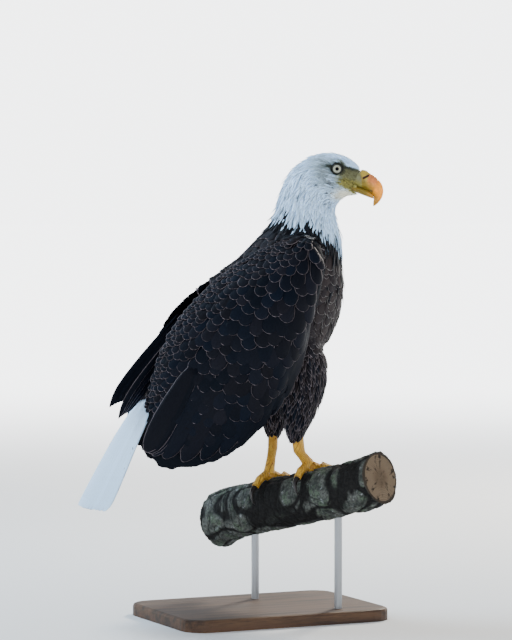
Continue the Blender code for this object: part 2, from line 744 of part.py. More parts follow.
def make_thigh(name, side):
    rings = []
    centres = [Vector(row[0]) if side < 0 else mirrored(row[0]) for row in THIGH]
    depths = [row[1] for row in THIGH]
    halves = [row[2] for row in THIGH]
    last = len(THIGH) - 1
    for k in range(THIGH_STEPS + 1):
        spot = last * k / THIGH_STEPS
        centre = place(blend(centres, spot))
        rings.append([centre + Vector((blend(depths, spot) * MM * math.cos(a),
                                       blend(halves, spot) * MM * math.sin(a), 0))
                      for a in [2 * math.pi * j / LIMB_SIDES for j in range(LIMB_SIDES)]])
    return loft(name, rings, "dark_feathers")


# ---- stand --------------------------------------------------------------------------------
def make_base():
    """A flat board with rounded corners and a softened upper edge."""
    half_x, half_y = BASE_LENGTH / 2, BASE_WIDTH / 2
    rings = []
    for height, inset in BASE_EDGE:
        ring = []
        for quarter in range(4):
            sign_x = 1 if quarter in (0, 3) else -1
            sign_y = 1 if quarter in (0, 1) else -1
            centre = Vector((BASE_X + sign_x * (half_x - BASE_CORNER),
                             sign_y * (half_y - BASE_CORNER), height))
            for k in range(BASE_CORNER_STEPS + 1):
                angle = math.pi / 2 * (quarter + k / BASE_CORNER_STEPS)
                reach = BASE_CORNER - inset
                ring.append(centre + Vector((math.cos(angle), math.sin(angle), 0)) * reach)
        rings.append(ring)
    return loft("stand_base", rings, "stand_wood")


def make_rods(perch):
    cutter = swollen(perch)
    for name, along in zip(("stand_rod_left", "stand_rod_right"), ROD_PLACES):
        foot = PERCH_MIDDLE + PERCH_AXIS * along
        heights = (BASE_HEIGHT + GAP, foot.z)
        rings = [tube_ring(Vector((foot.x, foot.y, height)), Vector((0, 0, 1)), Vector((1, 0, 0)),
                           ROD_RADIUS, ROD_RADIUS, ROD_SIDES) for height in heights]
        combine(loft(name, rings, "stand_steel"), cutter)


# ---- the whole ----------------------------------------------------------------------------
def clear_scene():
    for old in list(bpy.data.objects):
        bpy.data.objects.remove(old, do_unlink=True)


def build():
    clear_scene()
    eyes = [make_eye("eye_left", 1), make_eye("eye_right", -1)]
    make_head(eyes, make_bill())
    head_end, neck_end = station_index(HEAD_ENDS), station_index(NECK_ENDS)
    neck = body_stretch("neck", head_end, neck_end, "white_feathers")
    trunk = body_stretch("trunk", neck_end, len(BODY) - 1, "dark_feathers", last_gap=False)
    trunk_cutter = swollen(trunk)
    neck_cutter = swollen(neck)
    tail = make_tail()
    tail_cutter = swollen(tail)
    combine(tail, trunk_cutter)
    for side_name, side in (("left", 1), ("right", -1)):
        wing = make_wing(f"wing_{side_name}", side)
        wing_cutter = swollen(wing)
        for cutter in (trunk_cutter, neck_cutter, tail_cutter):
            combine(wing, cutter)
        tips = make_primaries(f"primaries_{side_name}", side)
        combine(tips, trunk_cutter)
        thigh = make_thigh(f"thigh_{side_name}", side)
        leg = make_foot(side_name, side)
        for cutter in (trunk_cutter, wing_cutter, swollen(leg)):
            combine(thigh, cutter)
    make_rods(make_perch())
    make_base()


build()
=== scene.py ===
"""Bald eagle on a short perch and a display stand: the finish and the plumage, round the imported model."""
import math

import bmesh
import bpy
import numpy as np
from mathutils import Matrix, Vector, noise
from mathutils.bvhtree import BVHTree
from mathutils.kdtree import KDTree


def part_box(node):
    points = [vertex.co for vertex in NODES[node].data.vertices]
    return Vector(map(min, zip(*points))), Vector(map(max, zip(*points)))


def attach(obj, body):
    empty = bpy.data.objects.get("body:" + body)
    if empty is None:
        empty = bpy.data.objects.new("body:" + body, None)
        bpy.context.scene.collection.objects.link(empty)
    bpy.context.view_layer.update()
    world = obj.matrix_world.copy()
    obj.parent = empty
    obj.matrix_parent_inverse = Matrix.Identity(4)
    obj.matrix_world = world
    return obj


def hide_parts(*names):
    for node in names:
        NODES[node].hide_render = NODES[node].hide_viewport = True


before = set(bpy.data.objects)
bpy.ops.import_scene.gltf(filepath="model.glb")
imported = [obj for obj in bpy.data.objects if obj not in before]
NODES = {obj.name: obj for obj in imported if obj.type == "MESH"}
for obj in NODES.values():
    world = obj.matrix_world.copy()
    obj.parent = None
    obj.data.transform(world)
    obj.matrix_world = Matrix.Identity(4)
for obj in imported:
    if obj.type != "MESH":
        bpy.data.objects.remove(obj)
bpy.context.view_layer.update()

MM = 0.001
RNG = np.random.default_rng(7)

# ---- the bird's own places ----------------------------------------------------------------
STANCE = np.array([0.123, 0.0, 0.255])     # the perch's top between the feet
HEAD_TURN = math.radians(-25)              # the head looks to the bird's right
HEAD_PITCH = math.radians(22)              # and a little downwards
COAT_PATCH = 0.003                         # side of a feather's patch on the OFBake map


def mm(*places):
    """World places from places in mm from the stance."""
    return STANCE + MM * np.array(places, dtype=float)


def box_middle(node):
    low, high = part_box(node)
    return (Vector(low) + Vector(high)) / 2


EYES = (box_middle("eye_left") + box_middle("eye_right")) / 2
HEAD = (Matrix.Translation(EYES) @ Matrix.Rotation(HEAD_TURN, 4, "Z")
        @ Matrix.Rotation(HEAD_PITCH, 4, "Y"))
HEAD_AXES = np.array(HEAD.to_3x3())
EYES = np.array(EYES)
EYE_MIDDLES = np.array([box_middle("eye_left"), box_middle("eye_right")])
SIDES = (("left", 1), ("right", -1))       # each side's name, and which way it lies along Y


def on_head(*places):
    """World places from places in mm in the head's own axes: ahead, left and up from the eyes."""
    return EYES + MM * np.array(places, dtype=float) @ HEAD_AXES.T


def in_head(points):
    """Places in mm in the head's own axes."""
    return (points - EYES) @ HEAD_AXES / MM


def unit(vectors):
    lengths = np.linalg.norm(vectors, axis=-1, keepdims=True)
    return vectors / np.maximum(lengths, 1e-12)


def dots(a, b):
    return np.sum(a * b, axis=-1, keepdims=True)


def ramp(values, start, end):
    """0 before start, 1 after end, smooth between."""
    share = np.clip((values - start) / (end - start), 0, 1)
    return share * share * (3 - 2 * share)


# ---- meshes -------------------------------------------------------------------------------
def put_in_scene(name, data):
    """A new object in the scene, with this mesh, camera or light."""
    thing = bpy.data.objects.new(name, data)
    bpy.context.scene.collection.objects.link(thing)
    return thing


def as_shaped(thing):
    """A new mesh of an object as its modifiers leave it."""
    return bpy.data.meshes.new_from_object(thing.evaluated_get(bpy.context.evaluated_depsgraph_get()))


def add_piece(name, mesh, finish, replaced=()):
    """Puts a mesh in the scene as a piece of the bird's one body."""
    piece = put_in_scene(name, mesh)
    mesh.materials.append(finish)
    mesh.shade_smooth()
    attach(piece, "root")
    if replaced:
        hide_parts(*replaced)
    return piece


def mesh_from(name, points, polygons):
    """A mesh from an array of points and a list of index arrays, each (faces, corners)."""
    mesh = bpy.data.meshes.new(name)
    corners = np.concatenate([faces.ravel() for faces in polygons]).astype(np.int32)
    totals = np.concatenate([np.full(len(faces), faces.shape[1]) for faces in polygons])
    starts = np.concatenate([[0], np.cumsum(totals)[:-1]])
    mesh.vertices.add(len(points))
    write_points(mesh, points)
    mesh.loops.add(len(corners))
    mesh.loops.foreach_set("vertex_index", corners)
    mesh.polygons.add(len(totals))
    mesh.polygons.foreach_set("loop_start", starts.astype(np.int32))
    mesh.update(calc_edges=True)
    return mesh


def corner_points(mesh):
    corners = np.empty(len(mesh.loops), dtype=np.int32)
    mesh.loops.foreach_get("vertex_index", corners)
    return corners


def set_map(mesh, name, values):
    """A UV map from one (u, v) for each point."""
    layer = mesh.uv_layers.new(name=name)
    layer.uv.foreach_set("vector", values[corner_points(mesh)].astype(np.float32).ravel())


def set_colour(mesh, name, values):
    """A colour attribute from one colour for each point, or from one for them all."""
    layer = mesh.attributes.new(name, "FLOAT_COLOR", "POINT")
    rgba = np.ones((len(mesh.vertices), 4), dtype=np.float32)
    rgba[:, :3] = values
    layer.data.foreach_set("color", rgba.ravel())


def set_number(mesh, name, values, domain="POINT"):
    layer = mesh.attributes.new(name, "FLOAT", domain)
    layer.data.foreach_set("value", values.astype(np.float32))


def read_vectors(mesh, kind):
    values = np.empty(len(mesh.vertices) * 3, dtype=np.float32)
    mesh.vertices.foreach_get(kind, values)
    return values.reshape(-1, 3).astype(float)


def read_points(mesh):
    return read_vectors(mesh, "co")


def read_normals(mesh):
    return read_vectors(mesh, "normal")


def write_points(mesh, points):
    mesh.vertices.foreach_set("co", points.astype(np.float32).ravel())


def node_shape(names, grow):
    """The solids of some nodes as one bmesh, each a little swollen."""
    shape = bmesh.new()
    for name in names:
        part = bmesh.new()
        part.from_mesh(NODES[name].data)
        bmesh.ops.remove_doubles(part, verts=part.verts, dist=1e-6)
        part.normal_update()
        for vertex, way in [(v, v.normal.copy()) for v in part.verts]:
            vertex.co += way * grow
        mesh = bpy.data.meshes.new("part")
        part.to_mesh(mesh)
        part.free()
        shape.from_mesh(mesh)
        bpy.data.meshes.remove(mesh)
    return shape


def remeshed(name, nodes, voxel, smoothing, grow=0.0, pads=()):
    """One even, smooth mesh round the solids of some nodes, and round pads given as (place, radius)."""
    shape = node_shape(nodes, grow)
    for middle, radius in pads:
        bmesh.ops.create_icosphere(shape, subdivisions=3, radius=radius, matrix=Matrix.Translation(middle))
    mesh = bpy.data.meshes.new(name)
    shape.to_mesh(mesh)
    shape.free()
    holder = put_in_scene(name, mesh)
    remesh = holder.modifiers.new("remesh", "REMESH")
    remesh.mode = "VOXEL"
    remesh.voxel_size = voxel
    smooth = holder.modifiers.new("smooth", "SMOOTH")
    smooth.iterations = smoothing
    smooth.factor = 0.5
    result = as_shaped(holder)
    bpy.data.objects.remove(holder)
    bpy.data.meshes.remove(mesh)
    result.name = name
    return result


def largest_shell(mesh):
    """Drops all but the largest connected shell of a mesh."""
    shape = bmesh.new()
    shape.from_mesh(mesh)
    shape.verts.ensure_lookup_table()
    seen = np.zeros(len(shape.verts), dtype=bool)
    shells = []
    for first in shape.verts:
        if seen[first.index]:
            continue
        seen[first.index] = True
        shell, edge = [first], [first]
        while edge:
            vertex = edge.pop()
            for link in vertex.link_edges:
                other = link.other_vert(vertex)
                if not seen[other.index]:
                    seen[other.index] = True
                    shell.append(other)
                    edge.append(other)
        shells.append(shell)
    shells.sort(key=len)
    spare = [vertex for shell in shells[:-1] for vertex in shell]
    bmesh.ops.delete(shape, geom=spare, context="VERTS")
    shape.to_mesh(mesh)
    shape.free()


def unwrap(piece):
    """An unwrap of the piece's own shape, as its OFBake map."""
    piece.data.uv_layers.new(name="OFBake")
    bpy.context.view_layer.objects.active = piece
    piece.select_set(True)
    bpy.ops.object.mode_set(mode="EDIT")
    bpy.ops.mesh.select_all(action="SELECT")
    bpy.ops.uv.smart_project(angle_limit=math.radians(66), island_margin=0.002)
    bpy.ops.object.mode_set(mode="OBJECT")
    piece.select_set(False)


# ---- what feathers stand on ---------------------------------------------------------------
SHEET_STEP = 1e-3         # of a sheet's u or v, over which its slope is taken
CROWD = 5.0               # places tried for each that a feather could have
AIR_REACH = 0.03          # metres that have to be free before a feather's root
RAY_LIFT = 0.001          # metres off the skin where that is measured from


class Skin:
    """A closed mesh that feathers stand on. A state is (points, normals, triangles).

    regions says for each point which part of the bird it belongs to.
    """

    def __init__(self, piece, regions):
        mesh = piece.data
        mesh.calc_loop_triangles()
        count = len(mesh.loop_triangles)
        corners = np.empty(count * 3, dtype=np.int32)
        loops = np.empty(count * 3, dtype=np.int32)
        mesh.loop_triangles.foreach_get("vertices", corners)
        mesh.loop_triangles.foreach_get("loops", loops)
        self.points = read_points(mesh)
        self.triangles = corners.reshape(-1, 3)
        self.loops = loops.reshape(-1, 3)
        self.region = regions[self.triangles[:, 0]]
        self.smooth = unit(read_normals(mesh)[self.triangles].mean(axis=1))
        self.tree = BVHTree.FromPolygons(self.points.tolist(), self.triangles.tolist())
        layer = mesh.uv_layers["OFBake"]
        flat = np.empty(len(mesh.loops) * 2, dtype=np.float32)
        layer.uv.foreach_get("vector", flat)
        self.map = flat.reshape(-1, 2)

    def start(self, points):
        places = np.empty_like(points)
        faces = np.empty(len(points), dtype=np.int64)
        find = self.tree.find_nearest
        for index, point in enumerate(points.tolist()):
            place, _, face, _ = find(point)
            places[index] = place
            faces[index] = face
        return places, self.smooth[faces], faces

    def move(self, state, offset):
        return self.start(state[0] + offset)

    def map_places(self, faces):
        return self.map[self.loops[faces]].mean(axis=1)

    def map_under(self, points):
        """The places on the map of the skin nearest to each point."""
        return self.map_places(self.start(points)[2])

    def airy_places(self, spacing_at):
        """Scattered places that look out with nothing of the skin close before them."""
        points, normals, faces = self.scatter(spacing_at)
        cast = self.tree.ray_cast
        starts = (points + normals * RAY_LIFT).tolist()
        airy = np.array([cast(start, way, AIR_REACH)[0] is None
                         for start, way in zip(starts, normals.tolist())])
        return points[airy], normals[airy], faces[airy]

    def scatter(self, spacing_at):
        """Places spread evenly over the mesh, as far apart as spacing_at says; 0 leaves a place bare."""
        corners = self.points[self.triangles]
        sides = np.cross(corners[:, 1] - corners[:, 0], corners[:, 2] - corners[:, 0])
        area = np.linalg.norm(sides, axis=1) / 2
        spacing = spacing_at(corners.mean(axis=1), self.region)
        worn = spacing > 0
        weight = np.where(worn, area / np.maximum(spacing, 1e-5) ** 2, 0.0)
        count = int(weight.sum() * CROWD)
        faces = RNG.choice(len(area), size=count, p=weight / weight.sum())
        a, b = RNG.random((2, count, 1))
        over = (a + b) > 1
        a, b = np.where(over, 1 - a, a), np.where(over, 1 - b, b)
        chosen = corners[faces]
        points = chosen[:, 0] + a * (chosen[:, 1] - chosen[:, 0]) + b * (chosen[:, 2] - chosen[:, 0])
        keep = thinned(points, spacing[faces])
        return points[keep], self.smooth[faces[keep]], faces[keep]


def thinned(points, spacing):
    """Indices of points that lie no nearer to each other than their spacing."""
    tree = KDTree(len(points))
    for index, point in enumerate(points.tolist()):
        tree.insert(point, index)
    tree.balance()
    dropped = np.zeros(len(points), dtype=bool)
    kept = []
    for index, point in enumerate(points.tolist()):
        if dropped[index]:
            continue
        kept.append(index)
        for _, other, _ in tree.find_range(point, spacing[index]):
            dropped[other] = True
    return np.array(kept)


def slopes(place, uv):
    """How fast a place(u, v) moves by u and by v."""
    along, across = np.array([SHEET_STEP, 0.0]), np.array([0.0, SHEET_STEP])
    by_u = (place(uv + along) - place(uv - along)) / (2 * SHEET_STEP)
    by_v = (place(uv + across) - place(uv - across)) / (2 * SHEET_STEP)
    return by_u, by_v


def facing(place, outward):
    """1 where the sheet's own normal looks outward, else -1."""
    middle = np.cross(*slopes(place, np.array([[0.5, 0.5]])))
    return 1 if float(dots(middle, np.array(outward))[0, 0]) > 0 else -1


def raised(place, outward, height):
    """The place of a sheet that stands over another by height(uv)."""
    side = facing(place, outward)

    def over(uv):
        return place(uv) + unit(np.cross(*slopes(place, uv))) * (side * height(uv))[:, None]

    return over


class Sheet:
    """A bent sheet for long feathers, place(u, v) in the world. A state is (points, normals, uv)."""

    def __init__(self, place, outward):
        self.place = place
        self.side = facing(place, outward)

    def start(self, uv):
        by_u, by_v = slopes(self.place, uv)
        return self.place(uv), unit(np.cross(by_u, by_v)) * self.side, uv

    def move(self, state, offset):
        by_u, by_v = slopes(self.place, state[2])
        uu, uv, vv = dots(by_u, by_u), dots(by_u, by_v), dots(by_v, by_v)
        ou, ov = dots(offset, by_u), dots(offset, by_v)
        spread = uu * vv - uv * uv
        step = np.concatenate([(ou * vv - ov * uv) / spread, (ov * uu - ou * uv) / spread], axis=1)
        return self.start(state[2] + step)


def curve_through(rows, place):
    """Catmull-Rom through rows of values, at places counted in rows, straight on past the ends."""
    rows = np.asarray(rows, dtype=float)
    last = len(rows) - 1
    first = np.clip(np.floor(place).astype(int), 0, last - 1)
    t = (place - first)[:, None]
    before = np.where((first > 0)[:, None], rows[np.maximum(first - 1, 0)], 2 * rows[0] - rows[1])
    after = np.where((first < last - 1)[:, None], rows[np.minimum(first + 2, last)],
                     2 * rows[last] - rows[last - 1])
    a, b = rows[first], rows[first + 1]
    inside = 0.5 * (2 * a + (b - before) * t + (2 * before - 5 * a + 4 * b - after) * t**2
                    + (3 * a - before - 3 * b + after) * t**3)
    past = np.where(t < 0, a + (b - before) / 2 * t, b + (after - a) / 2 * (t - 1))
    return np.where((t < 0) | (t > 1), past, inside)


# ---- feathers -----------------------------------------------------------------------------
HACKLE = ((0, 0.45), (0.25, 0.9), (0.5, 1.0), (0.75, 0.68), (0.92, 0.28), (1, 0.05))
ROUNDED = ((0, 0.5), (0.25, 0.8), (0.5, 0.97), (0.7, 1.0), (0.85, 0.86), (0.95, 0.52), (1, 0.12))
BLADE = ((0, 0.4), (0.15, 0.75), (0.4, 0.95), (0.6, 1.0), (0.75, 0.97), (0.86, 0.84), (0.93, 0.64),
         (0.98, 0.34), (1, 0.1))
VANE_MAP_SCALE = 10.0     # the vane map counts a tenth of a metre as 1


def denser(shape, parts):
    """The same outline with more stations between its own."""
    stations = [station for station, _ in shape]
    widths = [width for _, width in shape]
    places = np.unique(np.concatenate([np.linspace(a, b, parts + 1) for a, b in zip(stations, stations[1:])]))
    return tuple((float(p), float(np.interp(p, stations, widths))) for p in places)


LONG_BLADE = denser(BLADE, 2)


def lay(ground, state, way_at, lengths, shape, turns):
    """Walks from each root with the lie of the coat, and gives the state at each station."""
    states = [state]
    stations = [station for station, _ in shape]
    for before, station in zip(stations, stations[1:]):
        points, normals, _ = states[-1]
        way = way_at(points)
        way = unit(way - normals * dots(way, normals))
        way = way * np.cos(turns)[:, None] + np.cross(normals, way) * np.sin(turns)[:, None]
        states.append(ground.move(states[-1], way * (lengths * (station - before))[:, None]))
    return states


def vanes(name, finish, ground, states, shape, lengths, widths, looks, patches,
          columns=2, rise=(0.0, 0.002), crown=0.3, roll=None, hug=False, replaced=()):
    """Closed vanes along their centre lines, in one mesh.

    shape is (share of the length, share of the width) for each station. rise is the height over the
    ground at the root and the tip, crown how far the middle of a vane stands over its edges as a share
    of its half width. looks holds each feather's colours: root, tip and fringe. With hug the vane's
    sides follow the ground as well as its middle.
    """
    count = len(lengths)
    stations = np.array([station for station, _ in shape])
    half = widths[:, None] / 2 * np.array([share for _, share in shape])
    middles = np.stack([state[0] for state in states], axis=1)
    along = np.gradient(middles, axis=1)
    roots, tips = np.broadcast_to(rise[0], count), np.broadcast_to(rise[1], count)
    roll = np.zeros(count) if roll is None else roll
    places = np.linspace(-1, 1, columns + 1)
    grid = np.empty((count, len(stations), columns + 1, 3))
    vane_map = np.empty((count, len(stations), columns + 1, 2))
    edge = np.empty((count, len(stations), columns + 1))
    for k, station in enumerate(stations):
        points, normals, _ = states[k]
        across = unit(np.cross(normals, along[:, k]))
        height = roots + (tips - roots) * station
        for j, place in enumerate(places):
            offset = across * (place * half[:, k])[:, None]
            spot, up = points + offset, normals
            if hug and place != 0:
                spot, up, _ = ground.move(states[k], offset)
            lift = height + crown * (1 - place * place) * half[:, k] + roll * place * half[:, k]
            grid[:, k, j] = spot + up * lift[:, None]
            vane_map[:, k, j, 0] = place * half[:, k]
            vane_map[:, k, j, 1] = station * lengths
            edge[:, k, j] = np.minimum((1 - abs(place)) * half[:, k], (1 - station) * lengths)
    mesh = mesh_from(name, grid.reshape(-1, 3), vane_faces(count, len(stations), columns))
    spread = np.stack(np.broadcast_arrays(places[None, :] / 2, stations[:, None] - 0.5), axis=-1)
    patch_map = patches[:, None, None, :] + COAT_PATCH * spread[None]
    set_map(mesh, "OFBake", patch_map.reshape(-1, 2))
    set_map(mesh, "vane", vane_map.reshape(-1, 2) * VANE_MAP_SCALE)
    set_number(mesh, "edge", edge.ravel() / MM)
    under = np.zeros(len(mesh.polygons))
    segments = count * (len(stations) - 1)
    under[segments * columns:segments * (columns + 1)] = 1
    set_number(mesh, "under", under, "FACE")
    colour_vanes(mesh, looks, stations, columns)
    return add_piece(name, mesh, finish, replaced)


def colour_vanes(mesh, looks, stations, columns):
    """Gives each vane its own colours from root to tip, and its fringe's."""
    root, tip, fringe = [looks[key][:, None, None, :] for key in ("root", "tip", "fringe")]
    every_point = (len(root), len(stations), columns + 1, 3)
    coat = root + (tip - root) * stations[None, :, None, None]
    set_colour(mesh, "coat", np.broadcast_to(coat, every_point).reshape(-1, 3))
    set_colour(mesh, "fringe", np.broadcast_to(fringe, every_point).reshape(-1, 3))


def vane_faces(count, stations, columns):
    """The faces of closed vanes: a crowned top, a flat underside and a cap at each end."""
    index = np.arange(count * stations * (columns + 1)).reshape(count, stations, columns + 1)
    top = np.stack([index[:, :-1, :-1], index[:, 1:, :-1], index[:, 1:, 1:], index[:, :-1, 1:]], axis=-1)
    left, right = index[:, :, 0], index[:, :, -1]
    under = np.stack([left[:, :-1], right[:, :-1], right[:, 1:], left[:, 1:]], axis=-1)
    quads = np.concatenate([top.reshape(-1, 4), under.reshape(-1, 4)])
    return [quads, index[:, 0, :], index[:, -1, ::-1]]


# ---- materials ----------------------------------------------------------------------------
def as_colour(source):
    """A colour for a socket, from another socket or from (r, g, b)."""
    return source if isinstance(source, bpy.types.NodeSocket) else (*source, 1.0)


class Nodes:
    """A node tree under construction: each call adds a node and gives its output."""

    def __init__(self, tree):
        self.tree = tree

    def link(self, source, node, socket):
        if isinstance(source, bpy.types.NodeSocket):
            self.tree.links.new(source, node.inputs[socket])
        else:
            node.inputs[socket].default_value = source

    def add(self, kind, sources):
        """A new node of this kind, with a source or a value for each of the named sockets."""
        node = self.tree.nodes.new("ShaderNode" + kind)
        for socket, source in sources.items():
            self.link(source, node, socket)
        return node

    def attribute(self, name, output="Color"):
        node = self.add("Attribute", {})
        node.attribute_name = name
        return node.outputs[output]

    def place(self, output="Object"):
        return self.add("TexCoord", {}).outputs[output]

    def vane(self):
        node = self.add("UVMap", {})
        node.uv_map = "vane"
        return node.outputs["UV"]

    def scaled(self, vector, scale):
        node = self.add("VectorMath", {0: vector, 1: scale})
        node.operation = "MULTIPLY"
        return node.outputs[0]

    def length(self, vector):
        node = self.add("VectorMath", {0: vector})
        node.operation = "LENGTH"
        return node.outputs["Value"]

    def math(self, operation, first, second=0.0):
        node = self.add("Math", {0: first, 1: second})
        node.operation = operation
        return node.outputs[0]

    def times(self, first, second):
        return self.math("MULTIPLY", first, second)

    def plus(self, first, second):
        return self.math("ADD", first, second)

    def split(self, vector):
        return self.add("SeparateXYZ", {0: vector}).outputs

    def joined(self, x, y, z=0.0):
        return self.add("CombineXYZ", {0: x, 1: y, 2: z}).outputs[0]

    def noise(self, vector, scale, detail=3.0, roughness=0.55):
        sources = {"Vector": vector, "Scale": scale, "Detail": detail, "Roughness": roughness}
        return self.add("TexNoise", sources).outputs["Fac"]

    def cells(self, vector, scale, feature="F1"):
        node = self.add("TexVoronoi", {"Vector": vector, "Scale": scale})
        node.feature = feature
        return node.outputs["Distance"]

    def remap(self, value, start, end, low=0.0, high=1.0):
        """low where the value is at start, high where it is at end, smooth between."""
        node = self.add("MapRange", {"Value": value, "From Min": start, "From Max": end,
                                     "To Min": low, "To Max": high})
        node.interpolation_type = "SMOOTHSTEP"
        return node.outputs["Result"]

    def mixed(self, factor, first, second, blend="MIX"):
        node = self.add("Mix", {0: factor, 6: as_colour(first), 7: as_colour(second)})
        node.data_type = "RGBA"
        node.blend_type = blend
        return node.outputs[2]

    def dimmed(self, colour, factor):
        """A colour times a number."""
        return self.mixed(1.0, colour, self.joined(factor, factor, factor), "MULTIPLY")


class Finish(Nodes):
    """A node material under construction."""

    def __init__(self, name, roughness=0.5, **settings):
        self.material = bpy.data.materials.new(name)
        self.material.use_nodes = True
        super().__init__(self.material.node_tree)
        self.shader = self.tree.nodes["Principled BSDF"]
        self.shader.inputs["Roughness"].default_value = roughness
        for socket, value in settings.items():
            self.shader.inputs[socket.replace("_", " ")].default_value = value

    def colour(self, source):
        self.link(as_colour(source), self.shader, "Base Color")

    def roughness(self, source):
        self.link(source, self.shader, "Roughness")

    def bump(self, height, distance, strength=1.0):
        node = self.add("Bump", {"Strength": strength, "Distance": distance, "Height": height})
        self.link(node.outputs[0], self.shader, "Normal")


BARBS = (260.0, 24.0)             # how fine a vane's slanted barbs are, along and across
STREAKS = (150.0, 9.0, 1.0)       # and its streaks, across and along


def feather_finish(name, fringe_width, barb_contrast, **settings):
    """Feather vanes: their own colours, a fringe along the outline, and slanted barbs."""
    finish = Finish(name, **settings)
    across, along, _ = finish.split(finish.vane())
    slant = finish.math("SUBTRACT", along, finish.math("ABSOLUTE", across))
    barb_place = finish.joined(finish.times(slant, BARBS[0]), finish.times(across, BARBS[1]))
    barbs = finish.noise(barb_place, 1.0, 2.0)
    streaks = finish.noise(finish.scaled(finish.vane(), STREAKS), 1.0, 2.0)
    texture = finish.plus(finish.times(barbs, 0.6), finish.times(streaks, 0.4))
    shade = finish.remap(texture, 0.3, 0.7, 1 - barb_contrast, 1 + barb_contrast)
    fringe = finish.remap(finish.attribute("edge", "Fac"), fringe_width * 0.4, fringe_width, 1.0, 0.0)
    upper = finish.math("SUBTRACT", 1.0, finish.attribute("under", "Fac"))
    fringe = finish.times(fringe, upper)
    colour = finish.mixed(fringe, finish.attribute("coat"), finish.attribute("fringe"))
    finish.colour(finish.dimmed(colour, shade))
    finish.bump(barbs, 0.0002, 0.5)
    return finish.material


# ---- the lie of the coat ------------------------------------------------------------------
HEAD_AXIS = on_head((46, 0, -6), (22, 0, -4), (0, 0, -3), (-22, 0, -6), (-42, 0, -16))
BODY_AXIS = mm((18, 0, 478), (16, 0, 440), (0, 0, 398), (-30, 0, 348), (-72, 0, 302),
               (-125, 0, 258), (-190, 0, 202), (-250, 0, 142), (-300, 0, 70), (-350, 0, -20))
SPINE = np.concatenate([HEAD_AXIS, BODY_AXIS])
LEG_AXIS = mm((-14, 40, 300), (-8, 46, 232), (0, 50, 186), (-2, 50, 142), (-7, 48, 104), (-11, 46, 60))
WING_FAN = mm((-5, 0, 545))[0]       # the wing's feathers spread from above the shoulder
WHITE_ENDS = (477, -0.52)            # the white neck's last roots: mm up at the neck, and slope forwards


def axis_way(axis, points, sharpness=2.5):
    """The direction of an axis near each point, eased from one stretch to the next."""
    steps = curve_through(axis, np.linspace(0, len(axis) - 1, 5 * len(axis)))
    starts, ends = steps[:-1], steps[1:]
    middles, ways = (starts + ends) / 2, unit(ends - starts)
    gaps = np.linalg.norm(points[:, None, :] - middles[None], axis=2)
    weights = (gaps / gaps.min(axis=1, keepdims=True)) ** (-2 * sharpness)
    return unit(weights @ ways)


def spine_way(points):
    return axis_way(SPINE, points)


def leg_way(points):
    mirror = np.where(points[:, 1:2] > 0, 1.0, -1.0) ** np.array([0, 1, 0])
    return axis_way(LEG_AXIS, points * mirror) * mirror


def wing_way(points):
    way = points - WING_FAN
    way[:, 1] = 0
    return unit(way)


# ---- markings, shared by skin and coat ----------------------------------------------------
# White feathers, tinted blue: the blue is painted shade from the sky.
WHITE_IN_BLUE_SHADE = np.array([0.52, 0.73, 0.97])
CREAM = np.array([0.74, 0.68, 0.48])
CHEEK_GREY = np.array([0.20, 0.25, 0.28])
LORE_OLIVE = np.array([0.028, 0.029, 0.018])
LORE_LIGHT = np.array([0.125, 0.125, 0.062])
# Near-black for the brow's line, which is partly dark skin and partly painted shadow under the brow ridge,
# and for the streak behind the eye.
BROW_SHADOW_AND_STREAK = np.array([0.012, 0.015, 0.012])
FACE_YELLOW = np.array([0.21, 0.19, 0.050])
FLECK = np.array([0.03, 0.03, 0.035])
STREAK_GRAIN = np.array([0.06, 0.2, 0.32])       # the face's streaks are this fine, ahead, aside and up
FLECK_GRAIN = np.array([0.13, 0.3, 0.2])         # and so are the dark flecks below the cheek
# Lines on the side of the face, as mm ahead of and above the eyes.
BROW_LINE = ((-17.6, 1.7), (-6.9, 11.3), (2, 12.6), (11, 10.8), (18.7, 11.4), (26.8, 11.4), (37, 13.5))
GAPE_TOP = ((1, -24), (4, -20.5), (10, -15.5), (17, -11.8), (31, -9.5), (46, -7))
GAPE_LOW = ((1, -24), (8, -25.5), (17, -25.8), (28, -27.5), (46, -29))
# Soft patches on the side of the face: middle and radii in mm ahead and up, and tilt in degrees.
CHEEK_PATCH = ((-17, -8), (30, 17), -12)
JAW_PATCH = ((-6, -27), (26, 14), 10)
FLECKED_PATCH = ((-2, -47), (19, 24), 0)
CHIN_PATCH = ((30, -38), (26, 12), 25)
EYE_STREAK = ((-15, -1.5), (11, 3.2), 20)
THROAT_STREAK = ((56, -44, 462), (66, -42, 432))     # a dark streak down the front of the neck, in mm
STREAK_WIDTH = 4
# The lips' wrinkles are painted as darker lines: painted shade in their creases.
WRINKLE_STEP, WRINKLE_HALF = 5.2, 0.5            # mm between the lips' wrinkles, and half of one's width
EYE_RING = (10.4, 15.5)                          # mm from the eye over which the skin round it fades out
# Blackish feathers, tinted blue: a painted sheen of the sky on them.
DARK_WITH_BLUE_SHEEN = np.array([0.0012, 0.0028, 0.0066])
DARK_FRINGE = np.array([0.120, 0.102, 0.112])
BROWN = np.array([0.0085, 0.0065, 0.0075])
BREAST_BROWN = np.array([0.034, 0.027, 0.027])
SUNLIT_FRINGE = np.array([0.80, 0.77, 0.74])


def blot(head_places, centre, radii, turn):
    """A soft oval patch on both sides of the face, 1 at its middle and 0 far off."""
    x, z = head_places[:, 0] - centre[0], head_places[:, 2] - centre[1]
    angle = math.radians(turn)
    along, across = x * math.cos(angle) + z * math.sin(angle), z * math.cos(angle) - x * math.sin(angle)
    return np.exp(-((along / radii[0]) ** 2 + (across / radii[1]) ** 2) ** 1.5)


def mix(base, colour, amount):
    """Each from base to colour by its amount. Both are one colour for each point, or one for them all."""
    amount = np.clip(amount, 0, 1)[:, None]
    return base * (1 - amount) + colour * amount


def line_at(line, x):
    """The height of a line, given by its corners, at each x."""
    return np.interp(x, [corner[0] for corner in line], [corner[1] for corner in line])


def shade(base, colour, amount):
    """Like mix, but in steps that look even, so that a dark marking fades out softly."""
    return base * (colour / base) ** np.clip(amount, 0, 1)[:, None]


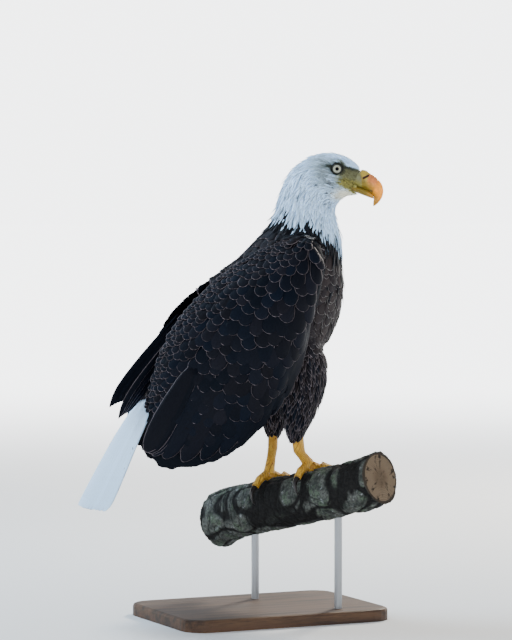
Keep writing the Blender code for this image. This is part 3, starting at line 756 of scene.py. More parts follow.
def head_colours(points):
    """White tinted with painted blue shade, with grey cheeks, olive lores, a dark brow line that is partly
    painted shadow, and yellow skin by the gape.
    """
    places = in_head(points)
    x = places[:, 0]
    side = np.clip(np.abs(places[:, 1]) / np.interp(x, (24, 44), (13, 5.5)), 0, 1) ** 2
    grain, slow = clumps(points, 420), clumps(points, 150)
    streaks = clumps(places * STREAK_GRAIN, 1)
    tones = WHITE_IN_BLUE_SHADE * (1 + 0.12 * slow + 0.12 * streaks)[:, None]
    tones = with_cheeks(tones, places, side, streaks)
    tones = with_lores(tones, places, side, grain, streaks)
    tones = with_lips(tones, places, side, grain, streaks)
    return with_eye_marks(tones, places, side, grain)


def with_cheeks(tones, places, side, streaks):
    """Grey cheeks, dark flecks below them and a cream chin."""
    tones = shade(tones, CHEEK_GREY, side * blot(places, *CHEEK_PATCH) * (0.7 + 0.7 * streaks))
    tones = shade(tones, CHEEK_GREY, side * blot(places, *JAW_PATCH) * (0.65 + 0.7 * streaks))
    flecks = ramp(clumps(places * FLECK_GRAIN, 1), 0.42, 0.8) * blot(places, *FLECKED_PATCH)
    tones = shade(tones, FLECK, 0.85 * side * flecks)
    return mix(tones, CREAM, 0.85 * blot(places, *CHIN_PATCH))


def with_lores(tones, places, side, grain, streaks):
    """The bare olive skin between the eye and the bill, under the brow and over the mouth."""
    x, z = places[:, 0], places[:, 2]
    under_brow = line_at(BROW_LINE, x) - z
    over_lip = z - line_at(GAPE_LOW, x)
    lores = (ramp(under_brow, -1.5, 2.0) * ramp(over_lip + 2 * grain, 3, 10)
             * ramp(x + 0.5 * z + 4 * grain + 3 * streaks, -15, 13))
    olive = mix(LORE_LIGHT, LORE_OLIVE,
                ramp(17 - under_brow - 0.36 * x + 5 * grain + 4 * streaks, 0, 13))
    return shade(tones, olive * (1 + 0.35 * grain)[:, None], side * lores)


def with_lips(tones, places, side, grain, streaks):
    """Yellow skin round the mouth's line, with wrinkles along it painted as darker lines of shade."""
    x, z = places[:, 0], places[:, 2]
    over_gape, over_lip = z - line_at(GAPE_TOP, x), z - line_at(GAPE_LOW, x)
    skin = (ramp(-over_gape + 2 * grain, -4, 3) * ramp(over_lip + 3 * grain, -3, 4)
            * ramp(x + 4 * grain, -3, 20))
    tones = shade(tones, FACE_YELLOW * (1 + 0.3 * grain)[:, None], side * skin)
    # The wrinkles are only darker lines of colour: painted shade in their creases.
    phase = np.mod(over_lip + 0.10 * x + 3 * streaks, WRINKLE_STEP)
    wrinkle_shade = np.abs(phase - WRINKLE_STEP / 2) < WRINKLE_HALF
    return shade(tones, FACE_YELLOW * 0.25, 0.55 * side * ramp(x, 0, 6) * ramp(44 - x, 0, 10) * wrinkle_shade
                 * ramp(-over_gape, -2, 0) * ramp(over_lip, 0, 2))


def with_eye_marks(tones, places, side, grain):
    """Dark skin round the eye, the brow's dark line, partly dark skin and partly painted shadow under the
    brow ridge, and the streak behind the eye.
    """
    x, z = places[:, 0], places[:, 2]
    under_brow = line_at(BROW_LINE, x) - z
    tones = shade(tones, LORE_OLIVE, side * (1 - ramp(np.hypot(x, z - 1.6) + grain, *EYE_RING)))
    # The brow's line: dark skin, darkened further as painted shadow under the brow ridge.
    brow = (ramp(under_brow, -1.5, 0.8) * (1 - ramp(under_brow, 1.5, 5))
            * ramp(x, -19, -13) * (1 - ramp(x, 24, 38)))
    tones = shade(tones, BROW_SHADOW_AND_STREAK * 1.8, 0.75 * side * brow)
    return shade(tones, BROW_SHADOW_AND_STREAK * 2, side * blot(places, *EYE_STREAK))


def throat_streak(points):
    """1 on the dark streak, 0 away from it."""
    top, low = STANCE + mm(*THROAT_STREAK)
    way = low - top
    share = np.clip((points - top) @ way / (way @ way), -0.6, 1.5)
    away = np.linalg.norm(points - top - share[:, None] * way, axis=1)
    return 1 - ramp(away, 0.6 * STREAK_WIDTH * MM, 1.5 * STREAK_WIDTH * MM)


def clumps(points, scale):
    """Unevenness over the body, from about -1 to 1."""
    return np.array([noise.noise(place) for place in (points * scale).tolist()]) * 1.6


def whiteness(points, uneven=0.0):
    """1 on the head, neck and tail coverts, 0 on the dark body."""
    x, z = (points[:, 0] - STANCE[0]) / MM, (points[:, 2] - STANCE[2]) / MM
    neck = z + uneven + 15 * clumps(points, 62) > WHITE_ENDS[0] + WHITE_ENDS[1] * x
    rump = (x + 0.5 * uneven < -262) & (np.abs(points[:, 1]) < 0.05) & (z < 175)
    return (neck | rump).astype(float)


def body_colours(points, uneven=0.0):
    return mix(DARK_WITH_BLUE_SHEEN, head_colours(points), whiteness(points, uneven))


# ---- skin ---------------------------------------------------------------------------------
FACE, BODY, WING, LEG, TAIL = range(5)
REGIONS = {"head": FACE, "neck": BODY, "trunk": BODY, "wing_left": WING, "wing_right": WING,
           "thigh_left": LEG, "thigh_right": LEG, "tail": TAIL}
SKIN_VOXEL = 3.5 * MM
SWELL = 0.6 * MM              # closes the gaps between the solids
BODY_DEPTH, WING_DEPTH, TAIL_DEPTH = 8 * MM, 5 * MM, 3 * MM      # how deep the skin lies
HEAD_REACH = (10, 45, 90, 130)                   # mm from the bill's root
HEAD_DEPTH = (1.0 * MM, 2.2 * MM, 5 * MM, 7 * MM)
NECK_REACH = 150                                 # mm from the bill's root to where the body's depth begins
THIN_SHARE = 0.4              # of a thin place's thickness, the most that the coat takes there
BILL_ROOT = on_head((40, 0, -6))[0]
THICKEST = 0.04               # metres in which the skin's other side is looked for
RAY_SUNK = 1e-4               # metres under the skin where that begins
EYE_OPENING = 9.5 * MM


def node_regions(points):
    """Which part of the bird each point belongs to."""
    corners, faces, owner = [], [], []
    for node, region in REGIONS.items():
        mesh = NODES[node].data
        mesh.calc_loop_triangles()
        faces += [tuple(len(corners) + i for i in t.vertices) for t in mesh.loop_triangles]
        corners += [tuple(v.co) for v in mesh.vertices]
        owner += [region] * len(mesh.loop_triangles)
    tree = BVHTree.FromPolygons(corners, faces)
    return np.array([owner[tree.find_nearest(point)[2]] for point in points.tolist()])


def off_bill(points):
    """mm from the bill's root."""
    return np.linalg.norm(points - BILL_ROOT, axis=1) / MM


def head_depth(points):
    return np.interp(off_bill(points), HEAD_REACH, HEAD_DEPTH)


def coat_depth(points, regions):
    """How deep the skin lies under the solids' outline."""
    depths = np.array([0, BODY_DEPTH, WING_DEPTH, BODY_DEPTH, TAIL_DEPTH])[regions]
    near_neck = off_bill(points) < NECK_REACH
    return np.where((regions == FACE) | ((regions == BODY) & near_neck), head_depth(points), depths)


def make_skin():
    """The bird's bare skin, sunk so deep that its coat ends at the solids' outline."""
    finish = Finish("skin", 0.8, Specular_IOR_Level=0.1)
    finish.colour(finish.attribute("coat"))
    mesh = remeshed("skin", REGIONS, SKIN_VOXEL, 4, SWELL)
    largest_shell(mesh)
    points, normals = read_points(mesh), read_normals(mesh)
    mesh.calc_loop_triangles()
    tree = BVHTree.FromPolygons(points.tolist(), [tuple(t.vertices) for t in mesh.loop_triangles])
    regions = node_regions(points)
    depth = coat_depth(points, regions) + SWELL
    for index, (point, way) in enumerate(zip(points - normals * RAY_SUNK, -normals)):
        gap = tree.ray_cast(point.tolist(), way.tolist(), THICKEST)[3]
        if gap is not None:
            depth[index] = min(depth[index], THIN_SHARE * gap)
    write_points(mesh, clear_of_eyes(points - normals * depth[:, None]))
    mesh.update()
    skin = add_piece("skin", mesh, finish.material, REGIONS)
    smooth = skin.modifiers.new("smooth", "SMOOTH")
    smooth.iterations = 3
    skin.data = as_shaped(skin)
    skin.modifiers.clear()
    set_colour(skin.data, "coat", body_colours(read_points(skin.data)) * 0.8)
    unwrap(skin)
    return Skin(skin, regions)


def clear_of_eyes(points):
    """Moves skin out of each eyeball, so that the eye shows."""
    for middle in EYE_MIDDLES:
        away = points - middle
        reach = np.linalg.norm(away, axis=1, keepdims=True)
        inside = reach[:, 0] < EYE_OPENING
        points[inside] = (middle + away / reach * EYE_OPENING)[inside]
    return points


# ---- stage, camera and light --------------------------------------------------------------
VIEW_AZIMUTH, VIEW_ELEVATION = math.radians(-25), math.radians(3)
VIEW_DISTANCE = 6.0
VIEW_TALL = 1.152              # metres that the picture's height spans at the bird
VIEW_LEFT, VIEW_MIDDLE = 0.061, 0.534    # the picture's middle: left of the stance, and above the floor
SENSOR = 36                    # mm
STUDIO_WHITE = (0.97, 0.985, 1.0)
STUDIO_GLOW = 4.8              # how bright the studio is round the horizon
STUDIO_TOP = 0.65              # and overhead
STUDIO_FADES = (0.06, 0.22)    # how far up the one turns into the other, 1 being overhead
FLOOR_GREY = (0.74, 0.75, 0.76)
FLOOR_RADIUS = 30.0
FLOOR_FADES = (1.6, 6.0)       # metres from the stand where the floor turns into the studio's white
# Each light's name, place, width in metres, power in watts and colour.
LIGHTS = (("sky", (-1.2, 1.6, 2.9), 1.8, 120, (0.60, 0.80, 1.0)),
          ("fill", (-2.2, -2.6, 1.6), 2.2, 32, (0.68, 0.85, 1.0)),
          ("sun", (2.3, 1.6, 2.0), 0.8, 150, (1.0, 0.92, 0.80)))
LIGHTS_AIM = (0.0, 0.0, 0.5)


def make_camera():
    towards = Vector((math.sin(VIEW_AZIMUTH) * math.cos(VIEW_ELEVATION),
                      -math.cos(VIEW_AZIMUTH) * math.cos(VIEW_ELEVATION), math.sin(VIEW_ELEVATION)))
    right = Vector((math.cos(VIEW_AZIMUTH), math.sin(VIEW_AZIMUTH), 0))
    target = Vector((STANCE[0], STANCE[1], VIEW_MIDDLE)) - right * VIEW_LEFT
    data = bpy.data.cameras.new("camera")
    data.sensor_width = SENSOR
    data.lens = SENSOR * VIEW_DISTANCE / VIEW_TALL
    data.clip_end = 100
    camera = put_in_scene("camera", data)
    camera.location = target + towards * VIEW_DISTANCE
    camera.rotation_euler = (-towards).to_track_quat("-Z", "Y").to_euler()
    bpy.context.scene.camera = camera


def add_light(name, place, size, power, colour):
    data = bpy.data.lights.new(name, "AREA")
    data.shape = "DISK"
    data.size = size
    data.energy = power
    data.color = colour
    light = put_in_scene(name, data)
    light.location = place
    light.rotation_euler = (Vector(LIGHTS_AIM) - Vector(place)).to_track_quat("-Z", "Y").to_euler()


def make_stage():
    finish = Finish("studio_floor", 0.9, Specular_IOR_Level=0.1)
    distance = finish.length(finish.place())
    finish.link(finish.remap(distance, *FLOOR_FADES, 0.0, STUDIO_GLOW), finish.shader, "Emission Strength")
    finish.link((*STUDIO_WHITE, 1.0), finish.shader, "Emission Color")
    finish.colour(finish.mixed(finish.remap(distance, *FLOOR_FADES), FLOOR_GREY, (0.0, 0.0, 0.0)))
    mesh = bpy.data.meshes.new("floor")
    shape = bmesh.new()
    bmesh.ops.create_circle(shape, cap_ends=True, segments=96, radius=FLOOR_RADIUS)
    shape.to_mesh(mesh)
    shape.free()
    floor = put_in_scene("floor", mesh)
    floor.data.materials.append(finish.material)
    make_world()
    for light in LIGHTS:
        add_light(*light)


def make_world():
    """A studio that glows white round the horizon and is dimmer overhead."""
    world = bpy.data.worlds.new("studio")
    world.use_nodes = True
    nodes = Nodes(world.node_tree)
    background = nodes.tree.nodes["Background"]
    background.inputs["Color"].default_value = (*STUDIO_WHITE, 1)
    height = nodes.split(nodes.place("Generated"))["Z"]
    nodes.link(nodes.remap(height, *STUDIO_FADES, STUDIO_GLOW, STUDIO_TOP), background, "Strength")
    bpy.context.scene.world = world


# ---- head and neck ------------------------------------------------------------------------
HACKLE_REACH = (8, 25, 50, 85, 130, 200)         # mm from the bill's root
HACKLE_LENGTH = (3, 5.5, 11, 22, 38, 50)
HACKLE_WIDTH = (0.9, 1.5, 2.6, 4.5, 6.5, 9)
EYE_CLEAR = 10.2 * MM                            # no feather comes nearer to an eye's middle
HACKLE_GAP = 0.46                                # hackles stand this share of their width apart
FACE_END = 62                                    # mm from the bill's root to where the neck's hackles begin


def above_white_edge(points):
    """mm above the line where the white neck's roots end."""
    x, z = (points[:, 0] - STANCE[0]) / MM, (points[:, 2] - STANCE[2]) / MM
    return z - WHITE_ENDS[0] - WHITE_ENDS[1] * x


def round_eyes(points):
    """The lie of the head's coat, parted round each eye."""
    way = spine_way(points)
    for middle in EYE_MIDDLES:
        away = points - middle
        gap = np.linalg.norm(away, axis=1, keepdims=True)
        way = way + 1.5 * np.exp(-(gap - EYE_CLEAR) / (5 * MM)) * away / gap
    return unit(way)


def clears_eyes(states):
    middles = np.stack([state[0] for state in states], axis=1)
    gaps = np.linalg.norm(middles[:, :, None, :] - EYE_MIDDLES, axis=3)
    return gaps.min(axis=(1, 2)) > EYE_CLEAR


def pick(states, keep):
    return [tuple(part[keep] for part in state) for state in states]


def jitter(count, amount):
    return 1 + amount * RNG.uniform(-1, 1, (count, 1))


def make_head_coat(skin, finish):
    """White lanceolate hackles, from bristles by the bill to long points on the neck."""
    def spacing_at(points, region):
        places = in_head(points)
        wide = np.interp(off_bill(points), HACKLE_REACH, HACKLE_WIDTH) * MM
        worn = (region <= BODY) & (above_white_edge(points) > -55)
        worn &= ~((places[:, 0] > 39) & (places[:, 2] < 17) & (places[:, 2] > -27.5))
        return np.where(worn, HACKLE_GAP * wide, 0)

    roots = skin.airy_places(spacing_at)
    reach = off_bill(roots[0])
    on_face = reach < FACE_END
    for label, chosen, shape in (("face", on_face, HACKLE[::2] + HACKLE[-1:]), ("neck", ~on_face, HACKLE)):
        make_hackles(label, tuple(values[chosen] for values in roots), reach[chosen], shape, skin, finish)


def make_hackles(label, roots, reach, shape, skin, finish):
    """The hackles at these roots, which lie reach mm from the bill's root."""
    count = len(reach)
    lengths = np.interp(reach, HACKLE_REACH, HACKLE_LENGTH) * MM * jitter(count, 0.2)[:, 0]
    widths = np.interp(reach, HACKLE_REACH, HACKLE_WIDTH) * MM * jitter(count, 0.15)[:, 0]
    places = in_head(roots[0])
    lengths *= 1 + 0.9 * ramp(-places[:, 2], 26, 34) * ramp(places[:, 0], 14, 28)
    states = lay(skin, roots, round_eyes, lengths, shape, RNG.normal(0, 0.12, count))
    keep = clears_eyes(states)
    states = pick(states, keep)
    lengths, widths = lengths[keep], widths[keep]
    count = len(lengths)
    starts, faces = states[0][0], states[0][2]
    white = whiteness(starts, RNG.uniform(-7, 7, count))
    white *= 1 - np.max([throat_streak(state[0]) for state in states[2:]], axis=0).round()
    colours = mix(DARK_WITH_BLUE_SHEEN, head_colours(states[len(states) // 2][0]), white) * jitter(count, 0.16)
    flecked = (in_head(starts)[:, 2] < -16) & (RNG.random(count) < 0.035)
    tips = mix(colours * 1.04, FLECK, 0.8 * flecked)
    # Each hackle darkens towards its root: painted shade between the hackles.
    looks = {"root": colours * 0.42, "tip": tips, "fringe": tips * 1.12}
    ruffle = RNG.uniform(0.7, 1.2, count) * np.where(RNG.random(count) < 0.07, 1.7, 1.0)
    vanes("coat_" + label, finish, skin, states, shape, lengths, widths, looks,
          skin.map_places(faces), rise=(0.0, head_depth(starts) * ruffle),
          crown=0.35, roll=RNG.normal(0, 0.2, count))


# ---- body ---------------------------------------------------------------------------------
def dark_looks(count, brown=0.4):
    """Blackish feathers tinted with a painted blue sheen, some browner, each with its own pale fringe."""
    base = mix(DARK_WITH_BLUE_SHEEN, BROWN, RNG.random(count) * brown) * jitter(count, 0.3)
    return {"root": base, "tip": base * 1.25, "fringe": DARK_FRINGE * jitter(count, 0.35)}


BODY_SPACING, LEG_SPACING = 7.5 * MM, 5.2 * MM
BODY_LENGTH, BODY_WIDTH = (42, 56), (19, 25)     # least and most of each feather, in mm
LEG_LENGTH, LEG_WIDTH = (30, 44), (9, 13)


def make_body_coat(skin, finish):
    def spacing_at(points, region):
        worn = (region == BODY) & (above_white_edge(points) < -35)
        return np.where(worn, BODY_SPACING, 0)

    points, normals, faces = skin.airy_places(spacing_at)
    count = len(points)
    lengths = RNG.uniform(*BODY_LENGTH, count) * MM
    widths = RNG.uniform(*BODY_WIDTH, count) * MM
    states = lay(skin, (points, normals, faces), spine_way, lengths, ROUNDED, RNG.normal(0, 0.1, count))
    white = whiteness(points, RNG.uniform(-12, 12, count))
    looks = dark_looks(count, 0.8)
    # The breast's front turns brown, and its fringes pale: a painted highlight where the sun rims the breast.
    front = ramp(points[:, 0] - STANCE[0], 0.0, 0.05)
    breast_with_sunlit_rim = {"root": BREAST_BROWN * 0.5, "tip": BREAST_BROWN, "fringe": SUNLIT_FRINGE * 0.35}
    for key, colour in breast_with_sunlit_rim.items():
        looks[key] = mix(looks[key], colour, front * RNG.uniform(0.4, 1.0, count))
    for key, colour in (("root", WHITE_IN_BLUE_SHADE * 0.75), ("tip", WHITE_IN_BLUE_SHADE), ("fringe", WHITE_IN_BLUE_SHADE)):
        looks[key] = mix(looks[key], colour, white)
    vanes("coat_body", finish, skin, states, ROUNDED, lengths, widths, looks,
          skin.map_places(faces), columns=4, rise=(0.0, BODY_DEPTH * RNG.uniform(0.85, 1.1, count)),
          crown=0.16, roll=RNG.normal(0, 0.04, count), hug=True)


def make_leg_coat(skin, finish):
    points, normals, faces = skin.scatter(lambda _, region: np.where(region == LEG, LEG_SPACING, 0))
    count = len(points)
    lengths = RNG.uniform(*LEG_LENGTH, count) * MM
    widths = RNG.uniform(*LEG_WIDTH, count) * MM
    states = lay(skin, (points, normals, faces), leg_way, lengths, HACKLE, RNG.normal(0, 0.12, count))
    low = ramp(points[:, 2] - STANCE[2], 0.07, 0.14)
    tall = BODY_DEPTH * RNG.uniform(0.8, 1.15, count) * (0.25 + 0.75 * low)
    vanes("coat_legs", finish, skin, states, HACKLE, lengths, widths,
          dark_looks(count, 1.0), skin.map_places(faces), rise=(0.0, tall),
          crown=0.25, roll=RNG.normal(0, 0.1, count))


# ---- wings --------------------------------------------------------------------------------
WING_ROWS = (      # upper edge, lower edge and how far the wing stands out, in mm, wrist to tip
    (15, -62, 427, 27, -68, 404, 88),
    (-5, -60, 434, 21, -90, 366, 116),
    (-38, -54, 425, 7, -102, 318, 134),
    (-87, -42, 406, -13, -109, 268, 145),
    (-139, -32, 374, -35, -110, 216, 149),
    (-189, -28, 332, -61, -108, 163, 145),
    (-232, -25, 284, -94, -102, 112, 136),
    (-264, -27, 229, -138, -95, 70, 122),
    (-288, -38, 170, -188, -88, 42, 108),
    (-305, -52, 112, -243, -81, 30, 93),
    (-319, -62, 60, -290, -74, 30, 79),
)
LEFT_TUCK = np.array([10, 0, -17])
LEFT_TUCK_ENDS = 0.62
LEFT_WING_LENGTH = 0.9                           # the left wing ends this much sooner
LEFT_WING_DRAWN = 10                             # and its tips lie this much further forward
WING_THICK, WING_THIN = 15, 2.4                  # the folded wing's middle and rim
COVERT_TRIES = 40000                             # places tried on each wing for the small feathers
COVERT_REACH = (0, 14, 36, 72, 144)              # mm from the wing's upper edge
COVERT_WIDTH = (9, 12, 19, 27, 33)
COVERT_SHARE = (1.45, 1.6)                       # its length is about this many times its width
COVERT_LIFT = (-3.2 * MM, 1.0 * MM)              # how high its root and its tip stand
FLIGHT_BASE = -2 * MM                            # how high the lowest flight feather lies


def wing_depth(uv):
    """How thick the folded wing is."""
    u, v = np.clip(uv, 0, 1).T
    full = (1 - np.abs(2 * v - 1) ** 3) * np.clip(np.minimum(6 * u, 5 * (1 - u)) + 0.15, 0, 1)
    return MM * (WING_THIN + (WING_THICK - WING_THIN) * full)


def wing_sheet(side):
    """The folded wing's outer side. side is -1 for the right wing."""
    def place(uv):
        u, v = uv[:, 0], uv[:, 1:2]
        rows = curve_through(WING_ROWS, u * (len(WING_ROWS) - 1) * (LEFT_WING_LENGTH if side > 0 else 1))
        upper, lower = rows[:, :3], rows[:, 3:6]
        bend = (upper + lower) / 2
        bend[:, 1] = -rows[:, 6]
        point = upper * (1 - v) ** 2 + bend * 2 * v * (1 - v) + lower * v**2
        if side > 0:
            point = point * np.array([1, -1, 1])
            tuck = np.sin(np.pi * np.clip(u / LEFT_TUCK_ENDS, 0, 1))[:, None] * (1 - v)
            point = point + LEFT_TUCK * tuck
            point[:, 0] += LEFT_WING_DRAWN * u**2 * (1 - v[:, 0])
        return STANCE + MM * point

    return Sheet(raised(place, (0, side, 0), wing_depth), (0, side, 0))


def backwards(ground, state, way_at, lengths, steps=8):
    """The root from which a feather of this length reaches the state."""
    for _ in range(steps):
        points, normals, _ = state
        way = way_at(points)
        way = unit(way - normals * dots(way, normals))
        state = ground.move(state, -way * (lengths / steps)[:, None])
    return state


def make_wing_coverts(name, sheet, skin, finish):
    uv = RNG.random((COVERT_TRIES, 2)) + np.array([0, 0.01])
    points = sheet.place(uv)
    drop = np.linalg.norm(points - sheet.place(uv * np.array([1, 0])), axis=1) / MM
    widths = np.interp(drop, COVERT_REACH, COVERT_WIDTH) * MM
    keep = thinned(points, 0.55 * widths)
    state = sheet.start(uv[keep])
    widths = widths[keep] * jitter(len(keep), 0.08)[:, 0]
    lengths = widths * RNG.uniform(*COVERT_SHARE, len(keep)) + 3 * MM
    turns = RNG.normal(0, 0.07, len(keep))
    states = lay(sheet, state, wing_way, lengths, ROUNDED, turns)
    after = lay(sheet, states[-1], wing_way, np.full(len(keep), 0.06), ((0, 0), (0.5, 0), (1, 0)), turns)
    inside = (after[-1][2][:, 1] < 1.02) & (after[-1][2][:, 0] < 1.0)
    for state in states:
        inside &= (np.abs(state[2] - 0.5) < 0.53).all(axis=1)
    states = pick(states, inside)
    widths, lengths = widths[inside], lengths[inside]
    count = len(widths)
    patches = skin.map_under(states[0][0])
    looks = dark_looks(count)
    # Near the wrist the coverts' tips and fringes are painted pale: a painted highlight of the sun on the
    # wing's edge.
    sunlit_wrist = (1 - ramp(states[0][2][:, 0] / 0.13 + states[0][2][:, 1] / 0.60, 0.6, 1.0))
    for key, share in (("tip", 0.35), ("fringe", 1.0)):
        looks[key] = mix(looks[key], SUNLIT_FRINGE, share * sunlit_wrist)
    vanes("coat_" + name, finish, sheet, states, ROUNDED, lengths, widths,
          looks, patches, columns=6, rise=COVERT_LIFT, crown=0.12,
          roll=RNG.normal(0, 0.02, count), hug=True)


def make_flight_feathers(name, sheet, skin, finish, tips, lengths, widths, step):
    """Long feathers whose tips lie at the given (u, v), each a step above the one before."""
    count = len(tips)
    end = sheet.start(np.array(tips, dtype=float))
    root = backwards(sheet, end, wing_way, lengths)
    states = lay(sheet, root, wing_way, lengths, LONG_BLADE, np.zeros(count))
    patches = skin.map_under(states[0][0])
    rise = FLIGHT_BASE + step * np.arange(count)
    vanes("coat_" + name, finish, sheet, states, LONG_BLADE, lengths, widths,
          dark_looks(count, 0.3), patches, columns=8, rise=(rise - 2 * MM, rise), crown=0.06, hug=True)


def make_wing(side_name, side, skin, finish):
    sheet = wing_sheet(side)
    make_wing_coverts(f"wing_{side_name}", sheet, skin, finish)
    low = [(u, 0.99) for u in np.linspace(0.46, 0.97, 9)]
    end = [(1.0, v) for v in (0.85, 0.6, 0.35, 0.1)]
    tips = low + end
    count = len(tips)
    make_flight_feathers(f"secondaries_{side_name}", sheet, skin, finish, tips,
                         np.linspace(0.20, 0.17, count), np.linspace(0.044, 0.038, count), 0.45 * MM)


# ---- primaries and tail -------------------------------------------------------------------
PRIMARY_ROWS = ((-221, -9, 252, 15), (-257, -10, 214, 14), (-293, -12, 175, 12.5),
                (-320, -15, 142, 10.5), (-337, -18, 114, 7.5))
PRIMARY_ACROSS = np.array([0.72, 0.08, -0.69])
LEFT_PRIMARIES_LIFT = 17
TAIL_ROWS = ((-240, 0, 204, 26), (-277, 0, 160, 37), (-317, 0, 104, 50),
             (-353, 0, 40, 59), (-384, 0, -18, 64), (-398, 0, -44, 65))
TAIL_ARCH = 9
PRIMARIES, RECTRICES = 5, 12       # feathers in each wing's point, and in the tail
PRIMARY_WIDTH = (0.012, 0.015)     # metres, of the first and the last
RECTRIX_WIDTH = 0.036


def primary_sheet(side):
    def place(uv):
        rows = curve_through(PRIMARY_ROWS, uv[:, 0] * (len(PRIMARY_ROWS) - 1))
        point = rows[:, :3] + PRIMARY_ACROSS * (rows[:, 3:] * (2 * uv[:, 1:] - 1))
        if side > 0:
            point = point * np.array([1, -1, 1])
            point[:, 2] += LEFT_PRIMARIES_LIFT
        return STANCE + MM * point

    return Sheet(place, (0, side, 0))


def tail_sheet():
    first, last = np.array(TAIL_ROWS[0][:3]), np.array(TAIL_ROWS[-1][:3])
    down_back = (last - first) / np.linalg.norm(last - first)
    lift = np.array([down_back[2], 0, -down_back[0]])
    lift *= np.sign(lift[2])

    def place(uv):
        rows = curve_through(TAIL_ROWS, uv[:, 0] * (len(TAIL_ROWS) - 1))
        across = 2 * uv[:, 1:] - 1
        point = rows[:, :3] + across * rows[:, 3:] * np.array([0, 1, 0]) - lift * (TAIL_ARCH * across**2)
        return STANCE + MM * point

    return Sheet(place, (-1, 0, 1))


def make_fan(name, sheet, skin, finish, starts, ends, widths, rise, looks, replaced):
    """Long feathers from starts to ends, each a (u, v), straight across the sheet."""
    states = [sheet.start(starts + (ends - starts) * station) for station, _ in LONG_BLADE]
    lengths = np.linalg.norm(states[-1][0] - states[0][0], axis=1)
    patches = skin.map_under(states[0][0])
    vanes("coat_" + name, finish, sheet, states, LONG_BLADE, lengths, widths, looks, patches,
          columns=8, rise=rise, crown=0.06, hug=True, replaced=replaced)


def make_primaries(side_name, side, skin, finish):
    sheet = primary_sheet(side)
    places = np.linspace(0.12, 0.88, PRIMARIES)
    starts = np.stack([np.full(PRIMARIES, -0.1), places], axis=1)
    ends = np.stack([np.linspace(1.03, 0.86, PRIMARIES), places], axis=1)
    steps = np.linspace(1.6, -0.4, PRIMARIES) * MM
    make_fan(f"primaries_{side_name}", sheet, skin, finish, starts, ends,
             np.linspace(*PRIMARY_WIDTH, PRIMARIES), (steps - MM, steps), dark_looks(PRIMARIES, 0.2),
             (f"primaries_{side_name}",))


def make_tail(skin, finish):
    sheet = tail_sheet()
    places = (np.arange(RECTRICES) + 0.5) / RECTRICES
    middle = 1 - np.abs(2 * places - 1)
    starts = np.stack([np.full(RECTRICES, 0.15), 0.5 + (places - 0.5) * 0.7], axis=1)
    ends = np.stack([0.93 + 0.07 * np.sqrt(middle), places], axis=1)
    base = WHITE_IN_BLUE_SHADE * jitter(RECTRICES, 0.05)
    looks = {"root": base, "tip": base * 0.96, "fringe": base * np.array([0.92, 0.86, 0.76])}
    rise = (middle * 3 - 2) * MM + 0.2 * MM * np.arange(RECTRICES) / RECTRICES
    make_fan("rectrices", sheet, skin, finish, starts, ends,
             np.full(RECTRICES, RECTRIX_WIDTH), (rise - MM, rise), looks, ())


# ---- eyes ---------------------------------------------------------------------------------
EYEBALL = 10.5 * MM
CORNEA = 0.9 * MM              # how far the cornea stands out of the ball
CORNEA_SPREAD = 0.62           # the angle over which it does, in radians
BALL_BACK = 1.3                # from this angle on the ball counts as being outside the iris
PUPIL, IRIS = 3.3, 7.4         # radii in mm
EYE_FORWARD = math.radians(2)
LID_INNER = 45.5               # degrees from the eye's axis to the lids' edge
LID_BACK, LID_FOOT = 2.0 * MM, 7.6 * MM          # where the lids end inside the head: ahead and aside
EYE_SIDES = 48
AROUND = np.linspace(0, 2 * np.pi, EYE_SIDES, endpoint=False)
LID_PROFILE = ((0, 10.5), (0.5, 11.1), (3, 11.5), (8, 11.5), (14, 11.0), (22, 10.0), (32, 8.6))


def eye_axes(side):
    """An eye's own axes: out of the eye, ahead and up, as columns."""
    out = Vector((math.sin(EYE_FORWARD), side * math.cos(EYE_FORWARD), 0.0)).normalized()
    ahead = (Vector((1, 0, 0)) - out * out.x).normalized()
    up = out.cross(ahead) * side * -1
    return HEAD_AXES @ np.array([out, ahead, up]).T


def ring_mesh(name, rings):
    """A mesh of closed rings joined in turn, (rings, points, 3), with its ends filled."""
    count, around, _ = rings.shape
    index = np.arange(count * around).reshape(count, around)
    beside = np.roll(index, -1, axis=1)
    quads = np.stack([index[:-1], beside[:-1], beside[1:], index[1:]], axis=-1).reshape(-1, 4)
    return mesh_from(name, rings.reshape(-1, 3), [quads, index[:1, ::-1], index[-1:]])


def facing_out(mesh):
    """Turns all faces of a closed mesh outwards."""
    shape = bmesh.new()
    shape.from_mesh(mesh)
    bmesh.ops.recalc_face_normals(shape, faces=shape.faces)
    shape.to_mesh(mesh)
    shape.free()
    return mesh


def make_eye(side_name, side, eye_finish, lid_finish):
    middle = EYE_MIDDLES[0 if side > 0 else 1]
    axes = eye_axes(side)
    make_eyeball(side_name, middle, axes, eye_finish)
    make_lids(side_name, middle, axes, lid_finish)


def make_eyeball(side_name, middle, axes, finish):
    angles = np.radians(np.concatenate([np.linspace(0.5, 60, 40), np.linspace(65, 179, 20)]))
    reach = EYEBALL + CORNEA * np.exp(-(angles / CORNEA_SPREAD) ** 4)
    ahead, aside = reach * np.cos(angles), reach * np.sin(angles)
    rings = np.stack([ahead[:, None] * np.ones(EYE_SIDES), aside[:, None] * np.cos(AROUND),
                      aside[:, None] * np.sin(AROUND)], axis=-1)
    mesh = ring_mesh(f"eyeball_{side_name}", middle + rings @ axes.T)
    ring = aside / MM + (angles > BALL_BACK) * 20
    set_number(mesh, "ring", np.repeat(ring, EYE_SIDES))
    turn = np.stack([np.cos(AROUND), np.sin(AROUND)], axis=-1)
    set_map(mesh, "vane", np.tile(turn, (len(angles), 1)))
    add_piece(f"eyeball_{side_name}", facing_out(mesh), finish, (f"eye_{side_name}",))


